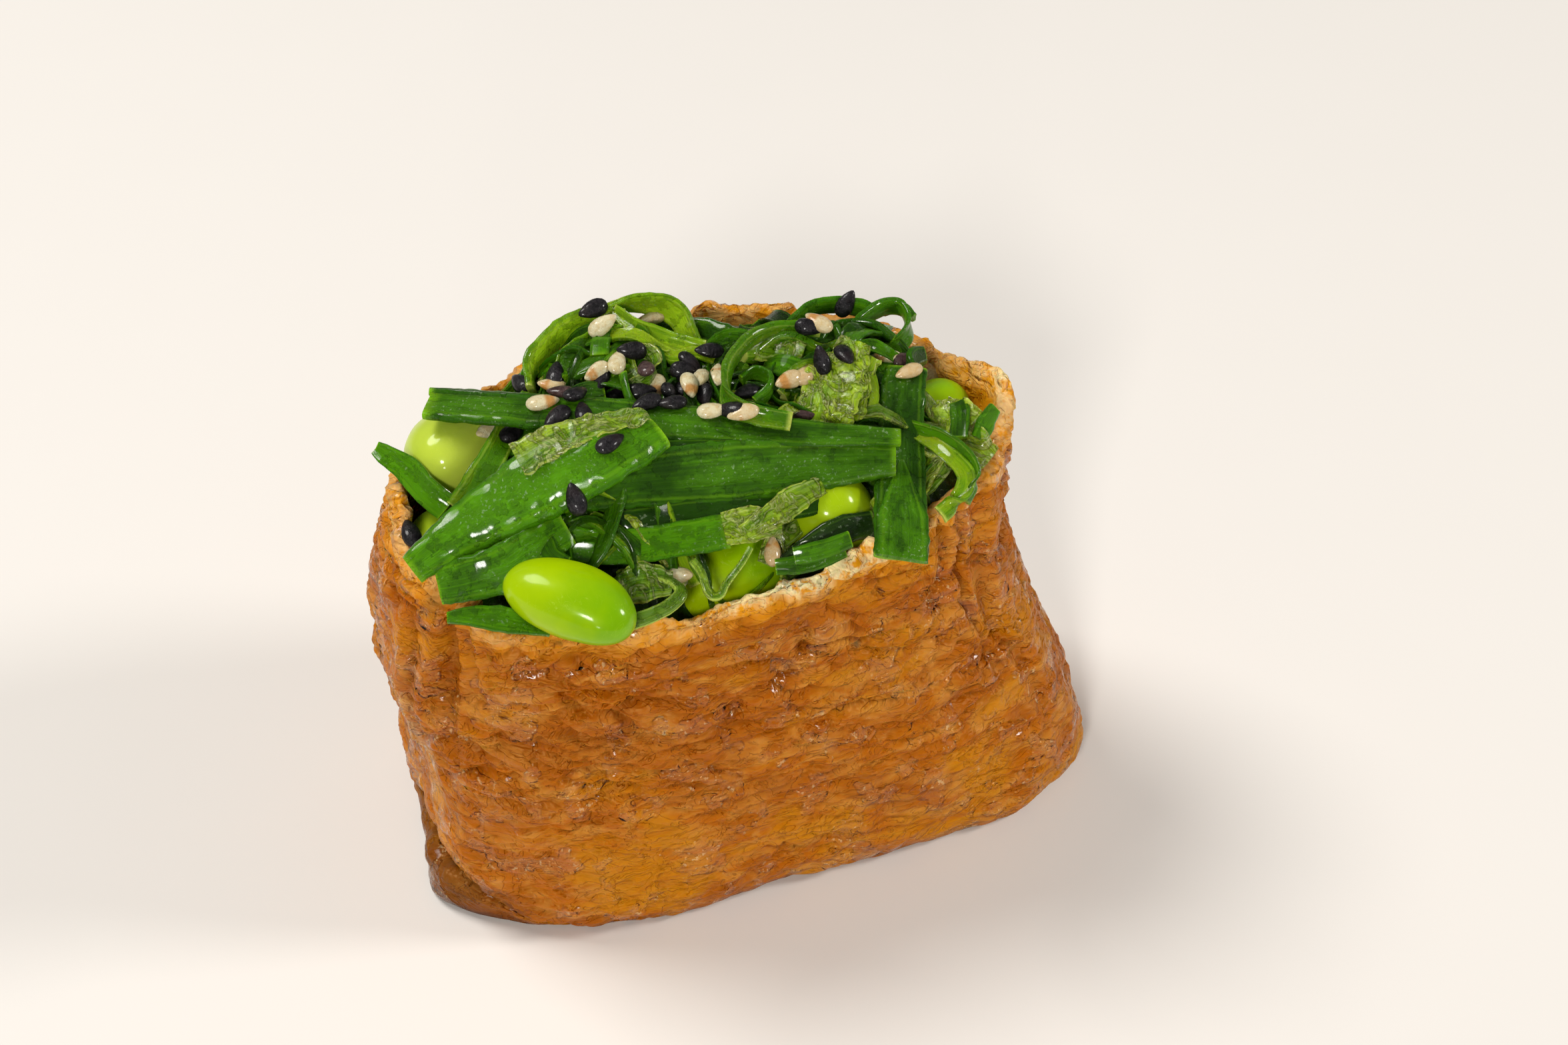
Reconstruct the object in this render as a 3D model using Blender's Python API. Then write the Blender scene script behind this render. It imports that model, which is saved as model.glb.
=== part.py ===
"""Open inari sushi: a pouch of fried tofu standing upright, filled with seaweed salad and green soybeans.

Sizes are millimetres, turned into metres where a mesh is made. X runs along the pouch, Y from its front wall to
its back wall, and Z up. A direction round the pouch is in degrees, 0 at its right end and 90 at its back.
The drawing's own zero lies near the pouch's middle; MIDDLE is the middle of the finished object's box, which
becomes the origin, on the surface that the pouch stands on.
"""

import math
from dataclasses import dataclass

import bmesh
import bpy
from mathutils import Vector, noise

METRES_PER_MM = 0.001
MIDDLE = (0.79, -1.31)
MESH_GAP = 0.3  # free space between neighbouring solids

# The pouch's outline. It is bell-shaped, and its foot reaches further to the right than its mouth.
FOOT_LEFT, FOOT_RIGHT = -30.4, 34.7
MOUTH_LEFT, MOUTH_RIGHT = -33.4, 26.8
HALF_WIDTH_FOOT, HALF_WIDTH_MOUTH = 18.8, 18.2
SQUARENESS_FOOT, SQUARENESS_MOUTH = 3.5, 2.25
SLOPE_START, SLOPE_END = 1.0, 34.0  # heights between which the foot's outline turns into the mouth's

# The pouch's skin
WALL = 2.0
RIM_WALL = 1.3
FLOOR = 2.4
FLOOR_CORNER = 1.2  # height of the slope between the floor and the inside of the wall
FLOOR_INSET = 4.0
FLOOR_CORNER_INSET = 1.6
FOOT_ROUNDING = 3.0
FOOT_DRAWN_IN = 0.8  # the rounding's depth, as a share of its height
SOLE_SHARE = 0.45  # size of the innermost ring under the pouch

# The rim stands highest at the back right.
RIM_MEAN, RIM_TILT, RIM_HIGH_AT = 39.3, 2.7, 58.0
RIM_WAVES = ((7, 0.25, 0.0), (17, 0.2, 40.0))  # waves round the pouch, height, where they start

# The corner of the seam that lies folded under the lower left end, with a crease above it
FLAP_AT, FLAP_HALF = 198.0, 32.0
FLAP_THICKNESS = 4.6
FLAP_REACH = 1.1
FLAP_EDGE = 0.7  # how far the flap's rounded edge draws in above and below
THINNEST_FLAP = 0.8

# Rings of the mesh
POUCH_SEGMENTS = 64
FLAP_RINGS = (0.0, 0.3, 0.75)
ABOVE_CREASE = (0.0, 1.1, 3.0)
WALL_RINGS = (0.12, 0.25, 0.4, 0.55, 0.7, 0.82, 0.92, 1.0)
INSIDE_RINGS = (0.22, 0.4, 0.6, 0.78, 0.93)
HEAP_RINGS = (0.93, 0.8, 0.66, 0.5, 0.34, 0.17)

# The salad, one uneven heap that fills the pouch
SALAD_EDGE_DROP = 2.2  # how far under the rim the heap meets the wall
SALAD_CROWN = 45.0
SALAD_STEEPNESS = 2.6
SALAD_WAVE = 1.1
SALAD_WAVE_STRETCH = (0.16, 0.2, 3.7)

BEAN_SEGMENTS, BEAN_RINGS = 16, 10
BEAN_BEND = 0.07  # how far the belly is drawn in, as a share of the length
BLADE_STEPS = 10
# (share of the half-width, share of the half-thickness) round a blade's section
BLADE_SECTION = ((-1.0, 0.0), (-0.55, 1.0), (0.55, 1.0), (1.0, 0.0), (0.55, -1.0), (-0.55, -1.0))

# name: colour, roughness
FINISHES = {
    "fried_tofu": ((0.50, 0.19, 0.045), 0.34),
    "seaweed_dark": ((0.012, 0.075, 0.016), 0.25),
    "seaweed": ((0.02, 0.17, 0.02), 0.22),
    "soybean": ((0.33, 0.56, 0.03), 0.22),
}


@dataclass(frozen=True)
class Bump:
    """A swelling of the pouch's wall, or with a negative reach a fold."""

    direction: float
    reach: float
    half_width: float
    height: float
    half_height: float


@dataclass(frozen=True)
class RimBump:
    """A high or low stretch of the rim."""

    direction: float
    gain: float
    half_width: float


@dataclass(frozen=True)
class Mound:
    """A high place of the heap, or with a negative gain a hollow."""

    x: float
    y: float
    gain: float
    radius: float


@dataclass(frozen=True)
class Bean:
    """A soybean by its centre, the direction of its long axis and its half sizes."""

    name: str
    centre: tuple
    axis: tuple
    half_length: float
    half_width: float
    half_thickness: float


@dataclass(frozen=True)
class Blade:
    """A strip of seaweed along a route, with the way its width lies and its width at start, middle and end."""

    name: str
    route: tuple
    across_start: tuple
    across_end: tuple
    widths: tuple
    thickness: float = 1.0
    finish: str = "seaweed"


RIM_BUMPS = (
    RimBump(178.0, 2.2, 26.0),
    RimBump(-4.0, 2.2, 7.0),
    RimBump(14.0, -1.2, 12.0),
    RimBump(-58.0, 0.8, 14.0),
    RimBump(-143.0, -0.8, 14.0),
    RimBump(110.0, 0.6, 20.0),
)

WALL_BUMPS = (
    Bump(-4.0, 1.5, 7.0, 43.0, 5.0),  # the pinched ear at the right of the mouth
    Bump(14.0, -1.5, 13.0, 42.0, 12.0),  # the hollow behind the ear
    Bump(-20.0, 1.4, 11.0, 3.0, 7.0),  # the lower right corner
    Bump(-38.0, 0.8, 9.0, 3.0, 7.0),
    Bump(-31.0, -1.0, 4.5, 28.0, 14.0),  # two upright folds under the ear
    Bump(-24.0, 0.9, 4.0, 26.0, 13.0),
    Bump(-160.0, -1.0, 4.0, 34.0, 11.0),  # upright folds at the front of the left end
    Bump(-170.0, 0.8, 5.0, 26.0, 8.0),
    Bump(-150.0, 0.8, 6.0, 36.0, 8.0),
    Bump(179.0, 0.7, 8.0, 23.0, 5.0),  # a ridge at the left end, with the wall drawn in below it
    Bump(181.0, -1.0, 12.0, 13.0, 4.0),
    Bump(-130.0, 0.9, 14.0, 5.0, 8.0),
    Bump(-120.0, 0.7, 24.0, 15.0, 9.0),
    Bump(-70.0, -0.7, 22.0, 30.0, 8.0),
    Bump(-60.0, 0.7, 26.0, 12.0, 8.0),
    Bump(40.0, -0.9, 7.0, 24.0, 13.0),
    Bump(95.0, -0.9, 18.0, 22.0, 10.0),
    Bump(135.0, 0.9, 12.0, 16.0, 9.0),
    Bump(160.0, -0.8, 5.0, 26.0, 12.0),
)

MOUNDS = (
    Mound(-9.0, 9.0, 3.4, 6.5),
    Mound(15.0, 4.0, 2.6, 6.0),
    Mound(-14.0, -4.0, 0.6, 7.0),
    Mound(3.0, -4.0, 0.8, 7.0),
    Mound(5.0, -13.0, -3.0, 5.5),
    Mound(-6.0, -14.0, -2.0, 5.0),
    Mound(-24.0, 6.0, -2.0, 5.0),
    Mound(20.0, -1.0, -1.5, 4.0),
    Mound(-28.5, -1.0, -2.5, 4.5),
)

BEANS = (
    Bean("bean_front", (-20.0, -15.0, 40.1), (0.62, -0.62, -0.1), 6.2, 4.3, 3.7),
    Bean("bean_left", (-23.0, 7.0, 40.5), (0.7, 0.45, -0.35), 6.2, 4.6, 4.2),
    Bean("bean_low_left", (-27.0, -0.4, 35.4), (0.3, 0.9, 0.1), 5.2, 3.8, 3.4),
    Bean("bean_centre", (6.5, -10.2, 37.7), (0.3, 0.2, -0.9), 5.2, 4.4, 4.1),
    Bean("bean_low_front", (-3.6, -11.2, 34.8), (0.9, 0.1, 0.25), 5.8, 4.2, 3.9),
    Bean("bean_right", (19.6, -0.6, 38.6), (0.4, 0.8, 0.2), 5.2, 4.0, 3.8),
)

BLADES = (
    Blade(
        "blade_long",
        ((-25.6, 7.4, 46.6), (-18.4, 2.4, 47.4), (-10.5, -2.4, 47.7), (-3.3, -5.0, 47.3), (4.7, -7.0, 46.6),
         (12.5, -9.4, 46.0)),
        (0.3, 0.8, 0.1), (0.1, 0.9, 0.25), (4.2, 4.4, 3.4),
    ),
    Blade(
        "blade_broad",
        ((-17.6, -6.4, 44.0), (-12.2, -7.6, 44.6), (-6.6, -8.4, 44.7), (2.0, -9.8, 44.3), (11.4, -11.4, 43.9)),
        (0.2, 0.8, 0.6), (0.1, 0.8, 0.5), (4.0, 6.4, 3.6),
    ),
    Blade(
        "blade_cross",
        ((-32.0, -7.6, 40.9), (-26.5, -6.9, 43.6), (-20.2, -7.3, 47.0), (-14.5, -8.1, 49.3), (-9.1, -6.2, 49.7)),
        (-0.4, 0.8, 0.5), (-0.3, 0.8, 0.2), (5.2, 6.4, 5.0),
    ),
    Blade(
        "blade_right",
        ((17.3, -2.3, 44.6), (15.5, -5.6, 43.4), (13.6, -9.9, 42.0), (11.7, -14.3, 41.3), (9.9, -18.1, 41.0),
         (8.9, -20.6, 40.4)),
        (0.95, 0.25, 0.1), (0.95, 0.2, 0.0), (4.4, 4.8, 5.0), finish="seaweed_dark",
    ),
    Blade(
        "strip_turned",
        ((-16.6, -4.0, 41.6), (-18.8, -5.2, 41.2), (-19.2, -7.3, 40.9), (-17.0, -9.3, 40.6), (-13.6, -10.6, 40.4),
         (-9.2, -11.6, 40.6), (-4.4, -12.4, 40.8)),
        (0.7, 0.0, 0.7), (0.0, 0.8, 0.6), (3.0, 3.4, 3.8),
    ),
    Blade(
        "leaf_rim",
        ((-29.8, -11.4, 38.2), (-28.0, -12.2, 38.1), (-26.4, -13.2, 37.7), (-25.4, -14.3, 37.2)),
        (0.5, 0.6, 0.3), (0.7, 0.5, 0.2), (1.6, 2.4, 1.8), 0.8,
    ),
    Blade(
        "strip_dark",
        ((-0.2, -15.0, 37.0), (2.4, -15.2, 38.9), (5.5, -15.2, 40.3), (8.6, -14.9, 39.9)),
        (-0.5, 0.6, 0.6), (-0.3, 0.6, 0.7), (2.4, 2.8, 2.4), 0.8, "seaweed_dark",
    ),
    Blade(
        "curl_right",
        ((18.5, -5.7, 44.2), (19.0, -8.4, 44.4), (18.8, -11.4, 44.2), (17.8, -14.6, 43.7), (16.2, -16.9, 42.9),
         (14.4, -18.0, 41.9)),
        (0.8, 0.1, 0.5), (0.6, -0.4, 0.5), (2.2, 2.6, 2.4), 0.9,
    ),
    Blade(
        "curl_left",
        ((-30.6, 5.4, 43.4), (-29.7, 4.0, 42.8), (-28.6, 2.8, 41.9), (-27.6, 1.7, 41.0)),
        (0.5, 0.5, 0.7), (0.6, 0.3, 0.6), (2.8, 2.8, 2.4), 0.9,
    ),
    Blade(
        "strip_light",
        ((-19.4, 3.8, 45.0), (-22.0, 0.6, 44.2), (-24.2, -1.0, 42.8), (-26.0, -1.8, 41.4)),
        (-0.6, 0.6, 0.5), (-0.5, 0.6, 0.6), (2.2, 2.8, 2.4), 0.9,
    ),
    Blade(
        "loop_back_left",
        ((-14.9, 11.4, 43.4), (-13.2, 12.6, 46.0), (-10.0, 13.2, 48.2), (-6.4, 13.2, 49.4), (-3.2, 12.4, 49.5),
         (-0.9, 10.9, 48.6), (0.2, 9.2, 46.8)),
        (0.2, -0.8, 0.5), (0.2, -0.8, 0.5), (2.6, 3.0, 2.4), 0.9,
    ),
    Blade(
        "curl_middle",
        ((10.6, 4.6, 47.6), (7.4, 4.4, 48.6), (3.6, 3.2, 49.2), (1.0, 0.2, 49.6), (0.6, -2.8, 49.4),
         (2.0, -4.8, 49.0)),
        (0.1, -0.5, 0.8), (-0.8, 0.0, 0.5), (2.0, 2.4, 2.0), 0.9,
    ),
    Blade(
        "loop_back_right",
        ((12.6, 3.2, 45.8), (14.1, 4.2, 48.2), (17.2, 4.8, 48.8), (19.4, 3.9, 48.0), (19.8, 2.7, 46.2)),
        (0.2, -0.8, 0.5), (0.2, -0.8, 0.5), (2.4, 2.8, 2.4), 0.9,
    ),
    Blade(
        "frill_standing",
        ((8.8, -4.6, 46.6), (10.4, -2.4, 48.4), (12.9, -0.6, 49.8)),
        (0.8, -0.4, 0.2), (0.7, -0.6, 0.2), (4.0, 5.4, 3.0), 1.4,
    ),
)


def hump(distance, half_width):
    """A smooth bump of height 1 at distance 0."""
    return math.exp(-((distance / half_width) ** 2))


def turn_between(a, b):
    """The angle from b to a in degrees, between -180 and 180."""
    return (a - b + 180.0) % 360.0 - 180.0


def mix(a, b, share):
    """The value at a share of the way from a to b."""
    return a + (b - a) * share


def ease(value, start, end):
    """0 before start, 1 after end, and smooth between them."""
    share = min(1.0, max(0.0, (value - start) / (end - start)))
    return share * share * (3.0 - 2.0 * share)


def rim_height(degrees):
    """Height of the pouch's mouth in a direction."""
    height = RIM_MEAN + RIM_TILT * math.cos(math.radians(degrees - RIM_HIGH_AT))
    for bump in RIM_BUMPS:
        height += bump.gain * hump(turn_between(degrees, bump.direction), bump.half_width)
    for count, gain, start in RIM_WAVES:
        height += gain * math.sin(math.radians(count * degrees + start))
    return height


def foot_share(height):
    """1 at the foot of the wall and 0 where it has the mouth's outline."""
    return 1.0 - ease(height, SLOPE_START, SLOPE_END)


def wall_middle(height):
    """X of the pouch's middle at a height."""
    foot = foot_share(height)
    return (mix(MOUTH_LEFT, FOOT_LEFT, foot) + mix(MOUTH_RIGHT, FOOT_RIGHT, foot)) / 2


def wall_reach(degrees, height, inset):
    """Distance from the pouch's middle to its wall, moved in by the inset."""
    foot = foot_share(height)
    half_length = (mix(MOUTH_RIGHT, FOOT_RIGHT, foot) - mix(MOUTH_LEFT, FOOT_LEFT, foot)) / 2 - inset
    half_width = mix(HALF_WIDTH_MOUTH, HALF_WIDTH_FOOT, foot) - inset
    power = mix(SQUARENESS_MOUTH, SQUARENESS_FOOT, foot)
    angle = math.radians(degrees)
    along = abs(math.cos(angle) / half_length) ** power
    across = abs(math.sin(angle) / half_width) ** power
    reach = (along + across) ** (-1.0 / power)
    for bump in WALL_BUMPS:
        sideways = hump(turn_between(degrees, bump.direction), bump.half_width)
        reach += bump.reach * sideways * hump(height - bump.height, bump.half_height)
    return reach


def flap_share(degrees):
    """1 where the folded corner is thickest, and 0 away from it."""
    return 1.0 - ease(abs(turn_between(degrees, FLAP_AT)), FLAP_HALF * 0.5, FLAP_HALF)


def crease_height(degrees):
    """Height of the crease between the folded corner and the body above it."""
    return mix(THINNEST_FLAP, FLAP_THICKNESS, flap_share(degrees))


def foot_offset(degrees, height):
    """How far the outside lies beyond the plain wall near the surface that the pouch stands on."""
    flap = flap_share(degrees)
    crease = crease_height(degrees)
    above = max(0.0, height - crease * flap)
    below = max(0.0, 1.0 - above / FOOT_ROUNDING)
    body = -FOOT_DRAWN_IN * FOOT_ROUNDING * (1.0 - math.sqrt(1.0 - 0.9 * below * below))
    if height >= crease:
        return body
    fullness = 1.0 - (2.0 * height / crease - 1.0) ** 4
    return mix(body, FLAP_REACH - FLAP_EDGE * (1.0 - fullness), flap)


def point_at(degrees, height, reach):
    """The point at a distance from the pouch's middle."""
    angle = math.radians(degrees)
    return Vector((wall_middle(height) + reach * math.cos(angle), reach * math.sin(angle), height))


def outside_point(degrees, height):
    """A point of the pouch's outer face."""
    return point_at(degrees, height, wall_reach(degrees, height, 0.0) + foot_offset(degrees, height))


def inside_point(degrees, height, inset):
    """A point of the pouch's inner face."""
    return point_at(degrees, height, wall_reach(degrees, height, inset))


def directions():
    """Equal steps round the pouch."""
    return [360.0 * i / POUCH_SEGMENTS for i in range(POUCH_SEGMENTS)]


def inside_rings(gap):
    """Rings of the pouch's inside from its floor up, moved in by a gap."""
    steps = directions()
    floor = FLOOR + gap
    rings = [
        [inside_point(d, floor, WALL + FLOOR_INSET + gap) for d in steps],
        [inside_point(d, floor + FLOOR_CORNER, WALL + FLOOR_CORNER_INSET + gap) for d in steps],
    ]
    for share in INSIDE_RINGS:
        rings.append([inside_point(d, share * rim_height(d), WALL + gap) for d in steps])
    return rings


def outside_rings():
    """Rings of the pouch's outer face from its foot to its rim."""
    rings = [[] for _ in range(len(FLAP_RINGS) + len(ABOVE_CREASE) + len(WALL_RINGS))]
    for d in directions():
        crease = crease_height(d)
        wall_from = crease + ABOVE_CREASE[-1]
        heights = [crease * share for share in FLAP_RINGS]
        heights += [crease + more for more in ABOVE_CREASE]
        heights += [mix(wall_from, rim_height(d), share) for share in WALL_RINGS]
        for ring, height in zip(rings, heights):
            ring.append(outside_point(d, height))
    return rings


def new_material(name):
    """A Principled material of one of the named finishes."""
    material = bpy.data.materials.get(name)
    if material:
        return material
    colour, rough = FINISHES[name]
    material = bpy.data.materials.new(name)
    material.use_nodes = True
    shader = material.node_tree.nodes["Principled BSDF"]
    shader.inputs["Base Color"].default_value = (*colour, 1.0)
    shader.inputs["Roughness"].default_value = rough
    shader.inputs["Metallic"].default_value = 0.0
    return material


def in_metres(point):
    """A point of the drawing in the object's own frame."""
    return (Vector(point) - Vector((*MIDDLE, 0.0))) * METRES_PER_MM


def add_object(name, rings, finish):
    """A closed body through rings of points, each joined to the next, with a fan over each end."""
    mesh = bmesh.new()
    loops = [[mesh.verts.new(in_metres(point)) for point in ring] for ring in rings]
    for lower, upper in zip(loops, loops[1:]):
        for i, corner in enumerate(lower):
            j = (i + 1) % len(lower)
            mesh.faces.new((corner, lower[j], upper[j], upper[i]))
    for loop in (loops[0], loops[-1]):
        middle = mesh.verts.new(sum((corner.co for corner in loop), Vector()) / len(loop))
        for i, corner in enumerate(loop):
            mesh.faces.new((corner, loop[(i + 1) % len(loop)], middle))
    bmesh.ops.triangulate(mesh, faces=mesh.faces[:])
    bmesh.ops.recalc_face_normals(mesh, faces=mesh.faces[:])
    data = bpy.data.meshes.new(name)
    mesh.to_mesh(data)
    mesh.free()
    data.shade_smooth()
    data.materials.append(new_material(finish))
    piece = bpy.data.objects.new(name, data)
    bpy.context.scene.collection.objects.link(piece)
    return piece


def make_pouch():
    """The fried tofu: one bag with a floor, a wall, an uneven mouth and its folded lower corner."""
    outside = outside_rings()
    centre = Vector((wall_middle(0.0), 0.0, 0.0))
    sole = [centre.lerp(point, SOLE_SHARE) for point in outside[0]]
    lip = [inside_point(d, rim_height(d), RIM_WALL) for d in directions()]
    return add_object("pouch", [sole, *outside, lip, *reversed(inside_rings(0.0))], "fried_tofu")


def heap_height(x, y, edge, share):
    """Height of the heap's top, from its edge at share 1 to its crown at share 0."""
    height = mix(SALAD_CROWN, edge, share**SALAD_STEEPNESS)
    for mound in MOUNDS:
        height += mound.gain * hump(math.hypot(x - mound.x, y - mound.y), mound.radius)
    stretch_x, stretch_y, layer = SALAD_WAVE_STRETCH
    wave = noise.noise(Vector((x * stretch_x, y * stretch_y, layer)))
    return height + SALAD_WAVE * wave * (1.0 - share**4)


def heap_ring(share):
    """A ring of the heap's top at a share of the way from its middle to the wall."""
    ring = []
    for d in directions():
        edge = rim_height(d) - SALAD_EDGE_DROP
        at_wall = inside_point(d, edge, WALL + MESH_GAP)
        x = mix(wall_middle(edge), at_wall.x, share)
        y = at_wall.y * share
        ring.append(Vector((x, y, heap_height(x, y, edge, share))))
    return ring


def make_salad():
    """The heap of seaweed salad, from the pouch's floor to its uneven top."""
    edge = [inside_point(d, rim_height(d) - SALAD_EDGE_DROP, WALL + MESH_GAP) for d in directions()]
    top = [heap_ring(share) for share in HEAP_RINGS]
    return add_object("salad", [*inside_rings(MESH_GAP)[:-1], edge, *top], "seaweed_dark")


def make_bean(bean, name, grow=0.0):
    """A soybean: an egg-shaped body whose belly is drawn in a little. grow makes it larger all round."""
    along = Vector(bean.axis).normalized()
    across = along.cross(Vector((0.0, 0.0, 1.0))).normalized()
    up = across.cross(along)
    rings = []
    for i in range(1, BEAN_RINGS):
        angle = math.pi * i / BEAN_RINGS
        place, radius = -math.cos(angle), math.sin(angle)
        bend = BEAN_BEND * bean.half_length * (place * place - 0.4)
        centre = Vector(bean.centre) + along * place * (bean.half_length + grow) + across * bend
        ring = []
        for j in range(BEAN_SEGMENTS):
            turn = 2.0 * math.pi * j / BEAN_SEGMENTS
            sideways = across * (bean.half_width + grow) * math.cos(turn)
            upward = up * (bean.half_thickness + grow) * math.sin(turn)
            ring.append(centre + (sideways + upward) * radius)
        rings.append(ring)
    return add_object(name, rings, "soybean")


def smooth_line(points, steps):
    """Points on a Catmull-Rom curve through the given ones."""
    nodes = [Vector(point) for point in points]
    nodes = [nodes[0] * 2 - nodes[1], *nodes, nodes[-1] * 2 - nodes[-2]]
    spans = len(points) - 1
    line = []
    for i in range(steps + 1):
        place = i * spans / steps
        first = min(int(place), spans - 1)
        t = place - first
        a, b, c, d = nodes[first : first + 4]
        curve = b * 2 + (c - a) * t + (a * 2 - b * 5 + c * 4 - d) * t * t + (b * 3 - a - c * 3 + d) * t**3
        line.append(curve / 2)
    return line


def width_at(widths, share):
    """Width of a blade at a share of its length."""
    first, middle, last = widths
    return mix(first, middle, share * 2) if share < 0.5 else mix(middle, last, share * 2 - 1)


def make_blade(blade, name, grow=0.0):
    """A strip of seaweed along its route. grow makes it larger all round."""
    line = smooth_line(blade.route, BLADE_STEPS)
    rings = []
    for i, point in enumerate(line):
        share = i / BLADE_STEPS
        tangent = (line[min(i + 1, BLADE_STEPS)] - line[max(i - 1, 0)]).normalized()
        across = Vector(blade.across_start).lerp(Vector(blade.across_end), share)
        across = (across - tangent * across.dot(tangent)).normalized()
        normal = tangent.cross(across)
        half_width = width_at(blade.widths, share) / 2 + grow
        half_thickness = blade.thickness / 2 + grow
        if i == 0:
            point = point - tangent * grow
        if i == BLADE_STEPS:
            point = point + tangent * grow
        rings.append([point + across * half_width * u + normal * half_thickness * v for u, v in BLADE_SECTION])
    return add_object(name, rings, blade.finish)


def cut(body, cutter):
    """Takes the cutter's space out of a body. The cutter stays in the file as a hidden helper."""
    cutter.hide_render = True
    cutter.display_type = "WIRE"
    modifier = body.modifiers.new("room for " + cutter.name, "BOOLEAN")
    modifier.operation = "DIFFERENCE"
    modifier.solver = "EXACT"
    modifier.object = cutter


def main():
    """Clears the scene and makes the pouch, the heap, and what lies bedded in it."""
    for old in list(bpy.data.objects):
        bpy.data.objects.remove(old, do_unlink=True)
    make_pouch()
    salad = make_salad()
    for bean in BEANS:
        make_bean(bean, bean.name)
        cut(salad, make_bean(bean, "space_of_" + bean.name, MESH_GAP))
    for blade in BLADES:
        make_blade(blade, blade.name)
        cut(salad, make_blade(blade, "space_of_" + blade.name, MESH_GAP))


main()
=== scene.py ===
"""Looks of an open inari sushi: a wrinkled pouch of fried tofu filled with seaweed salad, soybeans and sesame.

Sizes are millimetres in the drawing's own frame and are turned into metres where a mesh is made. X runs along the
pouch, Y from its front wall to its back wall, and Z up. A direction round the pouch is in degrees, 0 at its right
end and 90 at its back.
"""

import logging
import math
import random
from dataclasses import dataclass, field
from enum import Enum
from typing import Any, ClassVar, Iterable, Sequence

import bpy
import numpy as np
from mathutils import Matrix, Vector, noise
from mathutils.bvhtree import BVHTree


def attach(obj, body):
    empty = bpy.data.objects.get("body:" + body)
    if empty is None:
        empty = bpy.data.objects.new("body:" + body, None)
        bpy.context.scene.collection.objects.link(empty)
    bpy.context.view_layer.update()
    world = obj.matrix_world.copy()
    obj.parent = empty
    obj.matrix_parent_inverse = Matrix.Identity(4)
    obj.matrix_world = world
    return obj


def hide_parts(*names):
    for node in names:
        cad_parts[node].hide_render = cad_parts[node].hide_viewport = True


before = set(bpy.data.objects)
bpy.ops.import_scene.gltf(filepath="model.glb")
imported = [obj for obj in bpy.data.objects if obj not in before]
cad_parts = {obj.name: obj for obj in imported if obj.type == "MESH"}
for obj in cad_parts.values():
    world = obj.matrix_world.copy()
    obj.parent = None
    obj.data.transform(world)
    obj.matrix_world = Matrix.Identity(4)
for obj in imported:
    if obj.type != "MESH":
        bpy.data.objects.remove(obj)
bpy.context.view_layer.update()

LOG = logging.getLogger("inari")
MM = 0.001
MIDDLE = np.array((0.79, -1.31, 0.0))  # the middle of the finished object's box in the drawing's frame
BODY = "root"
MOUTH_LEVEL = 38.0  # the height at which the mouth's outline is taken
RUFFLES = 330.0  # waves of ruffle to a metre, on firm strips
LOOSE_FILM_RUFFLES = 700.0
FILM_RUFFLES = 900.0
BEAN_ROOM = 3.4  # how far loose strips keep from a bean's middle
STRIDE = 1.7  # the distance between the places of a loose strip's route

Triple = tuple[float, float, float]
Colour = tuple[float, float, float]


class Slot(Enum):
    """Names for the materials' slots; nothing in this script uses them."""

    TOFU = "fried_tofu"
    DARK = "seaweed_dark"
    GREEN = "seaweed"
    BEAN = "soybean"


# ---------------------------------------------------------------------------------------------- node trees


class Wire:
    """An output socket. Sums and products of wires and numbers add Math nodes to their tree."""

    def __init__(self, tree: "Tree", socket: bpy.types.NodeSocket) -> None:
        """Keeps the socket and the tree that it belongs to."""
        self.tree = tree
        self.socket = socket

    def maths(self, operation: str, *values: Any) -> "Wire":
        """Adds a Math node.

        Args:
            operation: The node's operation.
            values: Its inputs, wires or numbers.

        Returns:
            The node's output.
        """
        return self.tree.node("ShaderNodeMath", {"operation": operation}, dict(enumerate(values)))

    def __add__(self, other: Any) -> "Wire":
        """self + other."""
        return self.maths("ADD", self, other)

    __radd__ = __add__

    def __sub__(self, other: Any) -> "Wire":
        """self - other."""
        return self.maths("SUBTRACT", self, other)

    def __rsub__(self, other: Any) -> "Wire":
        """other - self."""
        return self.maths("SUBTRACT", other, self)

    def __mul__(self, other: Any) -> "Wire":
        """self * other."""
        return self.maths("MULTIPLY", self, other)

    __rmul__ = __mul__

    def __pow__(self, other: Any) -> "Wire":
        """self to the power of other."""
        return self.maths("POWER", self, other)

    def size(self) -> "Wire":
        """The value without its sign."""
        return self.maths("ABSOLUTE", self)

    def signed_power(self, power: float) -> "Wire":
        """The value's size to a power, with the value's sign."""
        return self.maths("SIGN", self) * self.size() ** power

    def between(self, low: float, high: float) -> "Wire":
        """0 at low, 1 at high, smooth between them and held beyond them."""
        settings = {"interpolation_type": "SMOOTHSTEP"}
        values = {"Value": self, "From Min": low, "From Max": high, "To Min": 0.0, "To Max": 1.0}
        return self.tree.node("ShaderNodeMapRange", settings, values)

    def at_most(self, other: Any) -> "Wire":
        """The smaller of the two values."""
        return self.maths("MINIMUM", self, other)

    def at_least(self, other: Any) -> "Wire":
        """The larger of the two values."""
        return self.maths("MAXIMUM", self, other)


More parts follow.
